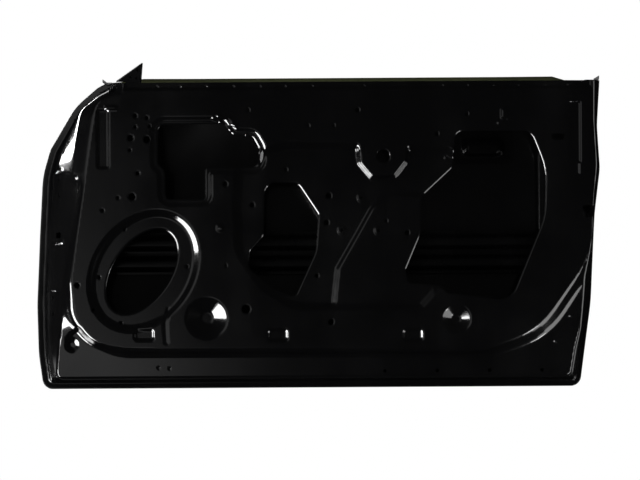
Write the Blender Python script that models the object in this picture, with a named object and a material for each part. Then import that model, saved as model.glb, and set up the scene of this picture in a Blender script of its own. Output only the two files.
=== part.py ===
"""Bare shell of a right-hand front door for a two-door car with frameless glass.

X runs rearwards, Z up, and the cabin side faces -Y. The origin is the centre of the upper hinge pad. Sizes are in
millimetres and become metres when a mesh is made. Depth is measured towards the outside, from the flat of the
inner panel.
"""

import math

import bmesh
import bpy
import numpy as np
from mathutils.geometry import delaunay_2d_cdt

MM = 0.001

# Overall sizes and datum lines, from the hinge datum
HINGE_DATUM_DEPTH = 92.0
FRONT_X = -57.5
DOOR_LENGTH = 1387.5
REAR_X = FRONT_X + DOOR_LENGTH
BELT_Z = 247.0
SILL_Z = -493.0
SKIN_BELT_Z = 265.0
ABOVE = BELT_Z + 400.0

# Only the middle of the door, drawn between these two places, stretches with its length. What lies behind it keeps
# its distance from the latch end.
STRETCH = (250.0, 1180.0)
STRETCH_END_INSET = 150.0


def along(x):
    """Place along the door of an x as drawn."""
    share = min(max((x - STRETCH[0]) / (STRETCH[1] - STRETCH[0]), 0.0), 1.0)
    return x + (REAR_X - STRETCH_END_INSET - STRETCH[1]) * share


# Sheets and gaps
PANEL_SHEET = 0.9
SKIN_SHEET = 0.8
BRACKET_SHEET = 1.2
BEAM_SHEET = 1.6
PLATE_SHEET = 2.5
CLEARANCE = 0.3
SAMPLED_CLEARANCE = 0.5
SKIN_CLEARANCE = 0.9
RING_STEP = 48.0
ARC_STEP = math.radians(24.0)
FLAT_SLIVER = 0.01

# Side section of the skin at its edge
SHOULDER_Z = 50.0
SHOULDER_DEPTH = 135.0
TURN_UNDER = 39.0
BELT_TURN_IN = 17.0
SKIN_CROWN = 9.0
CROWN_RISE = 240.0
SKIN_ROWS = (-423.0, -350.0, -280.0, -215.0, -150.0, -90.0, -30.0, 20.0, 65.0, 110.0, 155.0, 195.0, 225.0, 248.0)
SKIN_COLUMNS = 19

# Hem and rim of the inner panel
HEM_FLANGE = 17.0
LATCH_HEM_FLANGE = 12.0
HEM_RETURN = 10.0
HEM_FOLD_STEPS = 3
LAND_DEPTH = 26.0
LAND_FOOT_DEPTH = 22.0
REAR_FADE_LOW_Z = -232.0
REAR_FADE_HIGH_Z = -165.0
BELT_FLANGE_X = (169.5, REAR_X - 35.0)
BELT_FLANGE_HEIGHT = 18.0
BELT_FLANGE_SET = 5.0
BELT_FLANGE_WALL = 4.0

# Hinge face
PAD_HEIGHT = 76.0
PAD_PROUD = 2.5
PAD_WALL = 5.0
HINGE_PITCH = 290.0
CHECK_Z = -118.0
PAD_HOLE_PITCH = 40.0
PAD_HOLE_RADIUS = 5.0
TAPPED_PLATE = 7.0

# Carrier recess and the boss in it
RECESS_DEPTH = 13.0
RECESS_WALL = 15.0
BOSS_WALL = 9.0
BOSS_HOLE = (along(791.0), 67.0)
BOSS_HOLE_RADIUS = 15.5
PULL_STEP_HEIGHT = 6.0
PULL_STEP_WALL = 9.0

# Speaker
SPEAKER_AT = (209.6, -206.4)
SPEAKER_TILT = math.radians(55.0)
SPEAKER_LONG = 115.0
SPEAKER_SHORT = 67.7
LANDING_MARGIN_LONG = 41.0
LANDING_MARGIN_SHORT = 50.0
LANDING_WALL = 11.0
LANDING_DEPTH = 9.0

# Stiffening dimples, clip seats and bosses, as (x, z)
FRONT_DIMPLE = (along(365.0), -320.0)
FRONT_DIMPLE_RADIUS = 50.0
FRONT_DIMPLE_DEPTH = 15.0
REAR_DIMPLE = (along(965.0), -325.0)
REAR_DIMPLE_RADIUS = 35.0
REAR_DIMPLE_DEPTH = 10.0
DIMPLE_FLAT_SHARE = 0.3
CLIP_SEAT_SIZE = (50.0, 32.0)
CLIP_SEAT_DEPTH = 5.0
CLIP_SEAT_WALL = 6.0
CLIP_SEATS = ((215.0, -359.0), (along(536.0), -361.0), (along(860.0), -363.0))
CORNER_BOSS = (38.8, -382.8)
CORNER_BOSS_RADIUS = 19.0
CORNER_BOSS_HEIGHT = 5.0
SILL_HOLE_Z = -450.0
SILL_HOLE_START = REAR_X - 537.0
SILL_HOLE_PITCH = 126.5
SILL_HOLE_COUNT = 4

# Impact beam
BEAM_Z = -165.0
BEAM_HALF_HEIGHT = 52.0
BEAM_RIB_DEPTH = 22.0
BEAM_FRONT_INSET = 118.0
BEAM_REAR_INSET = 92.0
BEAM_STAND_OFF = 9.0
BEAM_BRACKET_LAP = 55.0
BEAD_X = (along(330.0), along(560.0), along(800.0), along(1020.0))
BEAD_SIZE = (46.0, 15.0)

# Mirror flag
FLAG_TOP = (215.0, 298.0)
FLAG_FOOT_X = (146.0, 211.0)
FLAG_EDGE = 7.0
MIRROR_NUTS = ((203.0, 277.0), (200.0, 258.0), (186.0, 261.0))
MIRROR_HOLE_RADIUS = 3.2
NUT_RADIUS = 6.5
NUT_BORE = 3.0
NUT_HEIGHT = 5.0

PULL_NUTS = ((along(738.7), -31.9), (along(691.4), -110.3), (along(779.5), -111.6))
STUD_AT = (along(398.7), -103.0)
STUD_RADIUS = 3.0
STUD_LENGTH = 16.0

FLAG_EDGE_RUN = 1.8
MIRROR_SHEET = 1.5

# Belt rails, outer handle, glass runs and latch
BELT_RAIL = 13.0
BELT_BOX_DEPTH = 24.0
BELT_END_INSET = 112.0
BELT_LIP = 6.0
HANDLE_AT = (REAR_X - 287.0, 93.0)
HANDLE_PLATE = (152.0, 80.0)
HANDLE_POCKET_SIZE = (104.0, 46.0)
HANDLE_POCKET_DEPTH = 12.0
HANDLE_POCKET_WALL = 12.0
HANDLE_HOLES_X = (HANDLE_AT[0] - 64.0, HANDLE_AT[0] + 64.0)
HANDLE_HOLE_RADIUS = 6.0
HANDLE_SCREWS_X = (HANDLE_AT[0] - 28.0, HANDLE_AT[0] + 28.0)
HANDLE_SCREW_RADIUS = 3.5
GLASS_DEPTH = 48.0
GLASS_RUN_FRONT_X = 170.0
GLASS_RUN_FRONT_Z = (155.0, -40.0)
GLASS_RUN_REAR_X = REAR_X - 138.0
GLASS_RUN_REAR_Z = (75.0, -110.0)
LATCH_AT_Z = -68.0
LATCH_PLATE_DEPTH = (12.0, 110.0)
LATCH_PLATE_HEIGHT = 150.0
LATCH_MOUTH_DEPTH = 52.0
LATCH_MOUTH_HEIGHT = 28.0
LATCH_SCREWS = ((34.0, LATCH_AT_Z + 40.0), (34.0, LATCH_AT_Z - 40.0), (84.0, LATCH_AT_Z + 6.0))
LATCH_SCREW_RADIUS = 4.0
CORNER_BRACKET_DEPTH = (12.0, 96.0)
BEAM_FOOT_TOP_Z = -160.0
BEAM_FOOT_HEIGHT = 62.0
BEAM_FOOT_LIFT = 0.4
CHECK_SLOT = (26.0, 14.0)
CHECK_PAD_HEIGHT = 46.0
TAPPED_PLATE_WIDTH = 24.0


# Plane outlines, as corners (x, z, fillet radius)


def rounded(corners, step=ARC_STEP):
    """Outline through corners, each rounded by its fillet radius, as an array of points."""
    points = []
    count = len(corners)
    for i, (x, z, radius) in enumerate(corners):
        here = np.array((x, z))
        back = np.array(corners[i - 1][:2]) - here
        ahead = np.array(corners[(i + 1) % count][:2]) - here
        back_length, ahead_length = np.linalg.norm(back), np.linalg.norm(ahead)
        back, ahead = back / back_length, ahead / ahead_length
        half = math.acos(max(-1.0, min(1.0, float(back @ ahead)))) / 2
        turn = math.pi - 2 * half
        if radius < 0.5 or turn < 0.02:
            points.append(here)
            continue
        reach = min(radius / math.tan(half), 0.48 * back_length, 0.48 * ahead_length)
        radius = reach * math.tan(half)
        middle = back + ahead
        centre = here + middle / np.linalg.norm(middle) * radius / math.sin(half)
        start = here + back * reach - centre
        steps = max(2, math.ceil(turn / step))
        way = math.copysign(turn, back[1] * ahead[0] - back[0] * ahead[1])
        for k in range(steps + 1):
            angle = way * k / steps
            cos, sin = math.cos(angle), math.sin(angle)
            points.append(centre + (start[0] * cos - start[1] * sin, start[0] * sin + start[1] * cos))
    return np.array(points)


def drawn(corners):
    """The corners as drawn, placed along a door of the set length."""
    return [(along(x), z, radius) for x, z, radius in corners]


def turned_left(corners):
    """The corners in anticlockwise order."""
    area = sum(a[0] * b[1] - b[0] * a[1] for a, b in zip(corners, corners[1:] + corners[:1]))
    return corners if area > 0 else corners[::-1]


def inset(corners, distance):
    """Corners of the outline moved inwards, or outwards where the distance is negative."""
    corners = turned_left(corners)
    moved = []
    count = len(corners)
    for i, (x, z, radius) in enumerate(corners):
        here = np.array((x, z))
        into = here - np.array(corners[i - 1][:2])
        out = np.array(corners[(i + 1) % count][:2]) - here
        into, out = into / np.linalg.norm(into), out / np.linalg.norm(out)
        left_in, left_out = np.array((-into[1], into[0])), np.array((-out[1], out[0]))
        middle = left_in + left_out
        at = here + middle * distance / max(0.2, 1 + float(left_in @ left_out))
        turns_left = into[0] * out[1] - into[1] * out[0] > 0
        grown = radius - distance if turns_left else radius + distance
        moved.append((at[0], at[1], max(grown, min(radius, 3.0))))
    return moved


def divided(path, step=RING_STEP):
    """The closed path with its long stretches divided."""
    points = []
    for a, b in zip(path, np.roll(path, -1, axis=0)):
        pieces = max(1, math.ceil(np.linalg.norm(b - a) / step)) if max(a[1], b[1]) < ABOVE else 1
        points += [a + (b - a) * k / pieces for k in range(pieces)]
    return np.array(points)


def circle(at, radius, sides=8):
    angles = (np.arange(sides) + 0.5) * 2 * math.pi / sides
    return np.column_stack((at[0] + radius * np.cos(angles), at[1] + radius * np.sin(angles)))


def ellipse(at, long_half, short_half, tilt, sides=40):
    angles = np.arange(sides) * 2 * math.pi / sides
    u, v = long_half * np.cos(angles), short_half * np.sin(angles)
    return np.column_stack(
        (at[0] + u * math.cos(tilt) - v * math.sin(tilt), at[1] + u * math.sin(tilt) + v * math.cos(tilt))
    )


def box_corners(at, size, radius, tilt=0.0):
    """Four corners of a rectangle about its centre."""
    cos, sin = math.cos(tilt), math.sin(tilt)
    halves = ((-0.5, -0.5), (0.5, -0.5), (0.5, 0.5), (-0.5, 0.5))
    return [
        (
            at[0] + size[0] * a * cos - size[1] * b * sin,
            at[1] + size[0] * a * sin + size[1] * b * cos,
            radius,
        )
        for a, b in halves
    ]


def nearest(points, path):
    """Distance of each point to the closed path, positive inside it, and the nearest place on it."""
    ends = np.roll(path, -1, axis=0)
    along = ends - path
    length2 = np.maximum((along**2).sum(axis=1), 1e-9)
    away = points[:, None, :] - path[None, :, :]
    share = np.clip((away * along).sum(axis=2) / length2, 0, 1)
    gap = away - share[..., None] * along
    distance2 = (gap**2).sum(axis=2)
    best = distance2.argmin(axis=1)
    rows = np.arange(len(points))
    place = path[best] + share[rows, best, None] * along[best]
    z = points[:, None, 1]
    crosses = (path[None, :, 1] > z) != (ends[None, :, 1] > z)
    rise = np.where(along[:, 1] == 0, 1.0, along[:, 1])
    at_x = path[None, :, 0] + (z - path[None, :, 1]) * along[None, :, 0] / rise[None, :]
    inside = (crosses & (points[:, None, 0] < at_x)).sum(axis=1) % 2 == 1
    distance = np.sqrt(distance2[rows, best])
    return np.where(inside, distance, -distance), place


def ramp(value):
    return np.clip(value, 0.0, 1.0)


class Pressing:
    """A pressed area: its outline at the top of the wall, the foot of the wall inside it, and its depth."""

    def __init__(self, corners, wall, depth):
        corners = turned_left(corners)
        self.outline = rounded(corners)
        self.foot = rounded(inset(corners, wall))
        self.wall = wall
        self.depth = depth

    def share(self, points):
        return ramp(nearest(points, self.outline)[0] / self.wall)

    def lift(self, points):
        return self.depth * self.share(points)

    def creases(self):
        return [self.outline, self.foot]


class Dimple(Pressing):
    """A round pressing with a conical wall and a small flat floor."""

    def __init__(self, at, radius, depth):
        self.outline = circle(at, radius, 20)
        self.foot = circle(at, radius * DIMPLE_FLAT_SHARE, 10)
        self.wall = radius * (1 - DIMPLE_FLAT_SHARE)
        self.depth = depth


# Rings round the rim, from the hem edge inwards

HEM_CORNERS = [
    (113.0, ABOVE, 0),
    (113.0, BELT_Z + 7, 8),
    (93.0, BELT_Z - 4, 50),
    (38.0, 197.0, 150),
    (-25.0, 93.0, 60),
    (-44.0, 30.0, 240),
    (FRONT_X + 6, -120.0, 500),
    (FRONT_X, -290.0, 500),
    (FRONT_X + 5, -410.0, 300),
    (FRONT_X + 18, SILL_Z, 24),
    (REAR_X - 58, SILL_Z, 24),
    (REAR_X - 27, -290.0, 500),
    (REAR_X - 14, -72.0, 300),
    (REAR_X, 40.0, 120),
    (REAR_X - 7, 145.0, 200),
    (REAR_X - 2, BELT_Z + 10, 0),
    (REAR_X - 2, ABOVE, 0),
]
WALL_CORNERS = [
    (x + (HEM_FLANGE - LATCH_HEM_FLANGE if x > REAR_X - 90 else 0.0), z, radius)
    for x, z, radius in inset(HEM_CORNERS, HEM_FLANGE)
]
LAND_CORNERS = [
    (140.0, ABOVE, 0),
    (140.0, BELT_Z - 10, 14),
    (104.0, 219.0, 60),
    (60.0, 184.0, 36),
    (48.0, 110.0, 150),
    (39.0, 24.0, 40),
    (54.0, 2.0, 12),
    (49.0, -30.0, 30),
    (31.0, -139.0, 300),
    (16.0, -228.0, 120),
    (11.0, -339.0, 200),
    (-1.0, SILL_Z + 27, 16),
    (REAR_X - 87, SILL_Z + 27, 16),
    (REAR_X - 75, -398.0, 60),
    (REAR_X - 63, -352.0, 80),
    (REAR_X - 52, -224.0, 60),
    (REAR_X - 35, -130.0, 120),
    (REAR_X - 31.5, -40.0, 300),
    (REAR_X - 23.5, 45.0, 150),
    (REAR_X - 29.5, 150.0, 200),
    (REAR_X - 30.5, ABOVE, 0),
]
FOOT_CORNERS = [
    (143.0, ABOVE, 0),
    (143.0, BELT_Z - 12, 14),
    (106.0, 216.0, 60),
    (63.0, 181.0, 36),
    (51.0, 110.0, 150),
    (42.0, 26.0, 36),
    (57.0, 3.0, 12),
    (52.0, -30.0, 30),
    (34.5, -139.0, 300),
    (21.0, -222.0, 100),
    (27.0, -316.0, 90),
    (72.0, -374.0, 110),
    (150.0, SILL_Z + 85, 120),
    (REAR_X - 275, SILL_Z + 81, 260),
    (REAR_X - 142, -370.0, 210),
    (REAR_X - 56, -232.0, 100),
    (REAR_X - 36.5, -130.0, 120),
    (REAR_X - 33, -40.0, 300),
    (REAR_X - 25, 45.0, 150),
    (REAR_X - 31, 150.0, 200),
    (REAR_X - 32, ABOVE, 0),
]
PLATEAU_CORNERS = [
    (168.0, ABOVE, 0),
    (168.0, BELT_Z - 19, 14),
    (112.0, 213.0, 40),
    (98.0, 192.0, 20),
    (88.0, 135.0, 120),
    (66.0, -18.0, 500),
    (49.0, -130.0, 500),
    (36.0, -230.0, 70),
    (46.0, -318.0, 70),
    (96.0, -384.0, 110),
    (180.0, SILL_Z + 97, 200),
    (REAR_X - 300, SILL_Z + 92, 240),
    (REAR_X - 168, -354.0, 210),
    (REAR_X - 62, -210.0, 170),
    (REAR_X - 38, -130.0, 120),
    (REAR_X - 34.5, -40.0, 300),
    (REAR_X - 26.5, 45.0, 150),
    (REAR_X - 32.5, 150.0, 200),
    (REAR_X - 33.5, ABOVE, 0),
]
HEM, WALL, LAND, FOOT, PLATEAU = (
    divided(rounded(turned_left(corners)))
    for corners in (HEM_CORNERS, WALL_CORNERS, LAND_CORNERS, FOOT_CORNERS, PLATEAU_CORNERS)
)


def edge_depth(z):
    """Depth of the skin's inner face along the hem, from the side section of the door."""
    below = ((SHOULDER_Z - z) / (SHOULDER_Z - SILL_Z)) ** 2 * TURN_UNDER
    over = ((z - SHOULDER_Z) / (SKIN_BELT_Z - SHOULDER_Z)) ** 2 * BELT_TURN_IN
    return SHOULDER_DEPTH - np.where(z < SHOULDER_Z, below, over)


def rear_fade(place):
    """1 on the front and the bottom of the rim, 0 up the latch end, where the land runs out."""
    rise = ramp((place[:, 1] - REAR_FADE_LOW_Z) / (REAR_FADE_HIGH_Z - REAR_FADE_LOW_Z))
    return np.where(place[:, 0] > REAR_X - 200, 1 - rise, 1.0)


def rim_depth(points):
    """Depth of the rim between its rings: hem flange, end walls, seal land, seal step and plateau."""
    found = [nearest(points, ring) for ring in (HEM, WALL, LAND, FOOT, PLATEAU)]
    place = [each[1] for each in found]
    signed = [each[0] for each in found]
    levels = (
        edge_depth(points[:, 1]),
        edge_depth(place[1][:, 1]),
        3.0 + (LAND_DEPTH - 3.0) * rear_fade(place[2]),
        1.5 + (LAND_FOOT_DEPTH - 1.5) * rear_fade(place[3]),
        np.zeros(len(points)),
    )
    depth = levels[0].copy()
    for k in range(1, 4):
        span = np.maximum(signed[k] - np.minimum(signed[k + 1], 0), 1e-6)
        share = ramp(signed[k] / span)
        depth = np.where(signed[k] > 0, levels[k] + (levels[k + 1] - levels[k]) * share, depth)
    return np.where(signed[4] > 0, 0.0, depth)


# Hinge face pads, each a flat plane lying on the slanted face

def hinge_pad(z, centre_x, centre_depth, slope, half_width, height):
    pad = Pressing(box_corners((centre_x, z), (2 * half_width, height), 8), PAD_WALL, 0.0)
    pad.plane = lambda points: centre_depth - PAD_PROUD - slope * (points[:, 0] - centre_x)
    pad.at = (centre_x, z)
    pad.slope = slope
    pad.half_width = half_width
    return pad


UPPER_PAD = hinge_pad(0.0, 0.0, HINGE_DATUM_DEPTH + PAD_PROUD, 1.33, 21.0, PAD_HEIGHT)
LOWER_PAD = hinge_pad(-HINGE_PITCH, -14.0, 74.0, 1.75, 18.0, PAD_HEIGHT)
CHECK_PAD = hinge_pad(CHECK_Z, -1.0, 84.0, 1.55, 19.0, CHECK_PAD_HEIGHT)
PADS = (UPPER_PAD, LOWER_PAD, CHECK_PAD)

# Pressed areas of the flat

RECESS = Pressing(
    drawn([
        (436.0, 60.0, 18),
        (431.0, -60.0, 300),
        (436.0, -164.0, 60),
        (492.0, -247.0, 60),
        (566.0, -298.0, 60),
        (600.0, -302.0, 40),
        (882.0, -303.0, 20),
        (934.0, -246.0, 20),
        (990.0, -180.0, 20),
        (990.0, 60.0, 20),
        (948.0, 87.0, 18),
        (850.0, 95.0, 60),
        (560.0, 103.0, 60),
        (500.0, 86.0, 20),
        (487.0, 60.0, 12),
    ]),
    RECESS_WALL,
    RECESS_DEPTH,
)
BOSS = Pressing(
    drawn([
        (722.0, 130.0, 0),
        (730.0, 48.0, 14),
        (762.0, 10.0, 14),
        (822.0, 14.0, 16),
        (852.0, 52.0, 16),
        (860.0, 130.0, 0),
    ]),
    BOSS_WALL,
    1.0,
)
PULL_STEP = Pressing(
    drawn([
        (662.0, -330.0, 0),
        (676.0, -200.0, 20),
        (727.0, -112.0, 60),
        (762.0, -50.0, 50),
        (812.0, -19.0, 30),
        (900.0, -22.0, 20),
        (930.0, -330.0, 0),
    ]),
    PULL_STEP_WALL,
    -PULL_STEP_HEIGHT,
)
LANDING_OUTLINE = (SPEAKER_LONG + LANDING_MARGIN_LONG, SPEAKER_SHORT + LANDING_MARGIN_SHORT)


class Landing(Pressing):
    """The oval speaker landing."""

    def __init__(self):
        self.outline = ellipse(SPEAKER_AT, *LANDING_OUTLINE, SPEAKER_TILT)
        inner = [half - LANDING_WALL for half in LANDING_OUTLINE]
        self.foot = ellipse(SPEAKER_AT, *inner, SPEAKER_TILT)
        self.wall = LANDING_WALL
        self.depth = LANDING_DEPTH


OPENING_A = drawn([
    (250.0, 147.0, 20),
    (409.0, 147.0, 16),
    (432.0, 119.5, 16),
    (478.0, 117.0, 16),
    (493.0, 90.0, 16),
    (492.0, 44.0, 16),
    (363.0, 44.0, 8),
    (363.0, -33.0, 9),
    (268.0, -33.0, 12),
    (267.0, 36.0, 8),
    (250.0, 52.0, 8),
])
OPENING_B = drawn([
    (506.0, 7.0, 30),
    (586.0, 4.0, 24),
    (635.0, -70.0, 9),
    (628.0, -160.0, 80),
    (577.0, -270.0, 12),
    (524.0, -250.0, 50),
    (466.0, -198.0, 22),
    (470.0, -158.0, 14),
    (503.0, -122.0, 16),
])
OPENING_C = drawn([
    (964.0, 127.0, 22),
    (1146.0, 127.0, 34),
    (1182.0, 36.0, 160),
    (1178.0, -80.0, 160),
    (1094.0, -284.0, 46),
    (1002.0, -268.0, 100),
    (944.0, -262.0, 10),
    (926.0, -243.0, 14),
    (850.0, -238.0, 14),
    (844.0, -206.0, 14),
    (881.0, -118.0, 60),
    (881.0, -32.0, 10),
    (959.0, 40.0, 20),
])
LIP_A = Pressing(inset(OPENING_A, -17.0), 6.0, 4.0)
PAD_FRONT = Pressing(box_corners((119.0, 112.0), (30.0, 142.0), 6), 4.0, 3.0)
PAD_REAR = Pressing(box_corners((REAR_X - 78, 122.0), (30.0, 150.0), 6), 4.0, 3.0)
PAD_SEAT = Pressing(box_corners((139.0, 187.0), (32.0, 12.0), 4), 4.0, -3.0)
PAD_TOE = Pressing(box_corners((REAR_X - 84, 34.0), (36.0, 30.0), 5), 4.0, 2.0)
RIDGE = Pressing(box_corners((REAR_X - 246, 168.0), (22.0, 28.0), 6), 5.0, -3.5)
DIMPLES = (
    Dimple(FRONT_DIMPLE, FRONT_DIMPLE_RADIUS, FRONT_DIMPLE_DEPTH),
    Dimple(REAR_DIMPLE, REAR_DIMPLE_RADIUS, REAR_DIMPLE_DEPTH),
)
CORNER_DIMPLE = Dimple(CORNER_BOSS, CORNER_BOSS_RADIUS, -CORNER_BOSS_HEIGHT)
SEATS = tuple(Pressing(box_corners(at, CLIP_SEAT_SIZE, 10), CLIP_SEAT_WALL, CLIP_SEAT_DEPTH) for at in CLIP_SEATS)
BELT_FLANGE = Pressing(
    [
        (BELT_FLANGE_X[0], ABOVE, 0),
        (BELT_FLANGE_X[0], BELT_Z - BELT_FLANGE_HEIGHT, 0),
        (BELT_FLANGE_X[1], BELT_Z - BELT_FLANGE_HEIGHT, 0),
        (BELT_FLANGE_X[1], ABOVE, 0),
    ],
    BELT_FLANGE_WALL,
    BELT_FLANGE_SET,
)
LANDING = Landing()
RAISED = (PAD_FRONT, PAD_REAR, PAD_SEAT, PAD_TOE, RIDGE, LIP_A, LANDING, BELT_FLANGE, CORNER_DIMPLE) + DIMPLES + SEATS

SMALL_HOLES = (
    (196.3, 167.5, 4.5),
    (224.6, 162.1, 4.0),
    (196.2, 140.7, 3.5),
    (231.0, 141.7, 3.5),
    (184.7, 113.9, 7.0),
    (224.3, 109.8, 8.0),
    (183.1, 84.8, 3.5),
    (201.9, 29.3, 4.5),
    (154.3, -29.5, 3.5),
    (187.7, -27.0, 8.0),
    (116.9, -59.7, 3.5),
    (55.3, -238.4, 5.5),
    (411.8, -193.6, 3.0),
    (459.8, -298.5, 10.0),
    (663.7, -330.2, 6.5),
    (630.0, -219.6, 4.5),
    (411.0, 2.0, 5.5),
    (475.8, -48.3, 5.5),
    (557.0, 36.2, 3.5),
    (659.5, -27.8, 7.0),
    (654.1, -91.9, 6.0),
    (797.2, -88.7, 3.5),
    (847.4, -117.3, 6.0),
    (467.6, 179.3, 3.5),
    (610.9, 141.0, 3.5),
    (672.1, 141.1, 3.5),
    (729.9, 178.2, 5.0),
    (920.4, 119.6, 4.5),
    (992.4, 166.9, 4.0),
)
SPEAKER_HOLES = (
    (106.8, -219.5, 3.5),
    (158.9, -330.2, 3.5),
    (93.4, -297.9, 3.5),
    (168.2, -104.7, 3.5),
    (318.2, -195.4, 3.5),
)
HALF_MOON = [
    (REAR_X - 134, 119.0, 4),
    (REAR_X - 104, 119.0, 4),
    (REAR_X - 104, 104.0, 12),
    (REAR_X - 134, 104.0, 12),
]
LATCH_MOUTH = [
    (REAR_X - 60, LATCH_AT_Z + LATCH_MOUTH_HEIGHT / 2, 3),
    (REAR_X - 31, LATCH_AT_Z + LATCH_MOUTH_HEIGHT / 2, 0),
    (REAR_X - 31, LATCH_AT_Z - LATCH_MOUTH_HEIGHT / 2, 0),
    (REAR_X - 60, LATCH_AT_Z - LATCH_MOUTH_HEIGHT / 2, 3),
]
HANDLE_POCKET = Pressing(box_corners(HANDLE_AT, HANDLE_POCKET_SIZE, 20), HANDLE_POCKET_WALL, -HANDLE_POCKET_DEPTH)
SKIN_TOP = np.array(
    [(REAR_X - 2, BELT_Z + 8), (REAR_X - 88, BELT_Z + 9)]
    + [(x, SKIN_BELT_Z) for x in np.linspace(REAR_X - 118, FLAG_FOOT_X[1] - 4, SKIN_COLUMNS)]
    + [(150.0, BELT_Z + 10), (116.0, BELT_Z + 8)]
)
FLAG_DEPTH = BELT_FLANGE_SET + PANEL_SHEET + CLEARANCE
FLAG_CORNERS = turned_left([
    (174.0, BELT_Z - 16, 3),
    (174.0, BELT_Z + 2.5, 0),
    (FLAG_FOOT_X[0], BELT_Z + 2.5, 2),
    (FLAG_TOP[0], FLAG_TOP[1], 2),
    (FLAG_FOOT_X[1], BELT_Z + 3, 0),
    (FLAG_FOOT_X[1], BELT_Z - 16, 3),
])
FLAG_BEND_CORNERS = [
    (FLAG_FOOT_X[0] - 82, BELT_Z - 58, 0),
    (FLAG_TOP[0], FLAG_TOP[1], 2),
    (FLAG_FOOT_X[1] - 6, BELT_Z - 58, 0),
]
FLAG_BEND = rounded(turned_left(FLAG_BEND_CORNERS))


def panel_depth(points):
    """Depth of the inner panel's cabin face at each (x, z)."""
    points = np.asarray(points, float)
    depth = rim_depth(points)
    in_recess = RECESS.share(points)
    depth = depth + RECESS.depth * in_recess * (1 - BOSS.share(points))
    depth = depth + PULL_STEP.lift(points) * in_recess
    for raised in RAISED:
        depth = depth + raised.lift(points)
    for pad in PADS:
        share = pad.share(points)
        depth = depth + share * (pad.plane(points) - depth)
    return depth


def skin_depth(points):
    """Depth of the skin's inner face at each (x, z)."""
    points = np.asarray(points, float)
    rise = ramp((nearest(points, HEM)[0] - HEM_FLANGE) / CROWN_RISE)
    crown = SKIN_CROWN * rise * rise * (3 - 2 * rise)
    return edge_depth(points[:, 1]) + PANEL_SHEET + CLEARANCE + crown + HANDLE_POCKET.lift(points)


def offset_point(surface, x, z, distance):
    """The point that lies the given distance off the surface, along its normal, towards the outside."""
    reach = 1.0
    spots = np.array([(x, z), (x + reach, z), (x - reach, z), (x, z + reach), (x, z - reach)])
    depth = surface(spots)
    slope_x, slope_z = (depth[1] - depth[2]) / (2 * reach), (depth[3] - depth[4]) / (2 * reach)
    size = math.sqrt(1 + slope_x**2 + slope_z**2)
    return x - slope_x * distance / size, depth[0] + distance / size, z - slope_z * distance / size


# Meshes


def finish(name, mesh, material):
    obj = bpy.data.objects.new(name, mesh)
    bpy.context.scene.collection.objects.link(obj)
    mesh.materials.append(material)
    mesh.shade_smooth()
    mesh.set_sharp_from_angle(angle=math.radians(25.0))
    return obj


def mesh_of(name, points, faces):
    """Mesh from points (x, depth, z) in millimetres, with the loose ones left out."""
    mesh = bpy.data.meshes.new(name)
    placed = [(x * MM, (depth - HINGE_DATUM_DEPTH) * MM, z * MM) for x, depth, z in points]
    mesh.from_pydata(placed, [], faces)
    shape = bmesh.new()
    shape.from_mesh(mesh)
    loose = [vertex for vertex in shape.verts if not vertex.link_faces]
    bmesh.ops.delete(shape, geom=loose, context="VERTS")
    shape.to_mesh(mesh)
    shape.free()
    return mesh


def add_solidify(obj, thickness, offset=-1.0):
    modifier = obj.modifiers.new("sheet", "SOLIDIFY")
    modifier.thickness = thickness * MM
    modifier.offset = offset
    modifier.use_even_offset = True
    return modifier


def triangulated(domain, cuts, creases, loose=()):
    """Constrained triangles of the domain, less its cuts, as points and faces. Creases are closed outlines."""
    verts, edges = [tuple(point) for point in loose], []
    for path in [domain] + list(cuts) + list(creases):
        first = len(verts)
        count = len(path)
        verts += [tuple(point) for point in path]
        edges += [(first + i, first + (i + 1) % count) for i in range(count)]
    made, _, faces, _, _, _ = delaunay_2d_cdt(verts, edges, [], 0, 1e-3)
    points = np.array([tuple(point) for point in made])
    faces = np.array(faces)
    middle = points[faces].mean(axis=1)
    keep = nearest(middle, domain)[0] > FLAT_SLIVER
    for cut in cuts:
        keep &= nearest(middle, cut)[0] < -FLAT_SLIVER
    return points, faces[keep]


def pressed_sheet(name, surface, domain, cuts, creases, thickness, material, distance=0.0):
    """A sheet pressed to a surface over a plane domain, or set off it by a distance."""
    points, faces = triangulated(domain, cuts, creases)
    if distance:
        placed = [offset_point(surface, x, z, distance) for x, z in points]
    else:
        placed = [(x, depth, z) for (x, z), depth in zip(points, surface(points))]
    obj = finish(name, mesh_of(name, placed, faces.tolist()), material)
    add_solidify(obj, thickness)
    return obj


def lofted_sheet(name, rows, thickness, material):
    """A sheet whose middle runs through rows of points (x, depth, z), all rows of the same length."""
    width = len(rows[0])
    points = [point for row in rows for point in row]
    faces = [
        (r * width + c, r * width + c + 1, (r + 1) * width + c + 1, (r + 1) * width + c)
        for r in range(len(rows) - 1)
        for c in range(width - 1)
    ]
    obj = finish(name, mesh_of(name, points, faces), material)
    add_solidify(obj, thickness, 0.0)
    return obj


def facing_out(mesh):
    """The closed mesh with its faces turned outwards."""
    shape = bmesh.new()
    shape.from_mesh(mesh)
    bmesh.ops.recalc_face_normals(shape, faces=shape.faces)
    shape.to_mesh(mesh)
    shape.free()
    return mesh


def turned_solid(name, at, depths, outer, bore, material, sides=12):
    """A ring about a line along Y, from one depth to the other."""
    rings = [(outer, depths[0]), (outer, depths[1])]
    rings += [(bore, depths[1]), (bore, depths[0])] if bore else []
    points, faces = [], []
    for radius, depth in rings:
        points += [(x, depth, z) for x, z in circle(at, radius, sides)]
    count = len(rings)
    around = range(sides)
    for k in range(count if bore else 1):
        near, far = k * sides, (k + 1) % count * sides
        faces += [(near + i, near + (i + 1) % sides, far + (i + 1) % sides, far + i) for i in around]
    if not bore:
        faces += [tuple(reversed(around)), tuple(sides + i for i in around)]
    return finish(name, facing_out(mesh_of(name, points, faces)), material)


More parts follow.
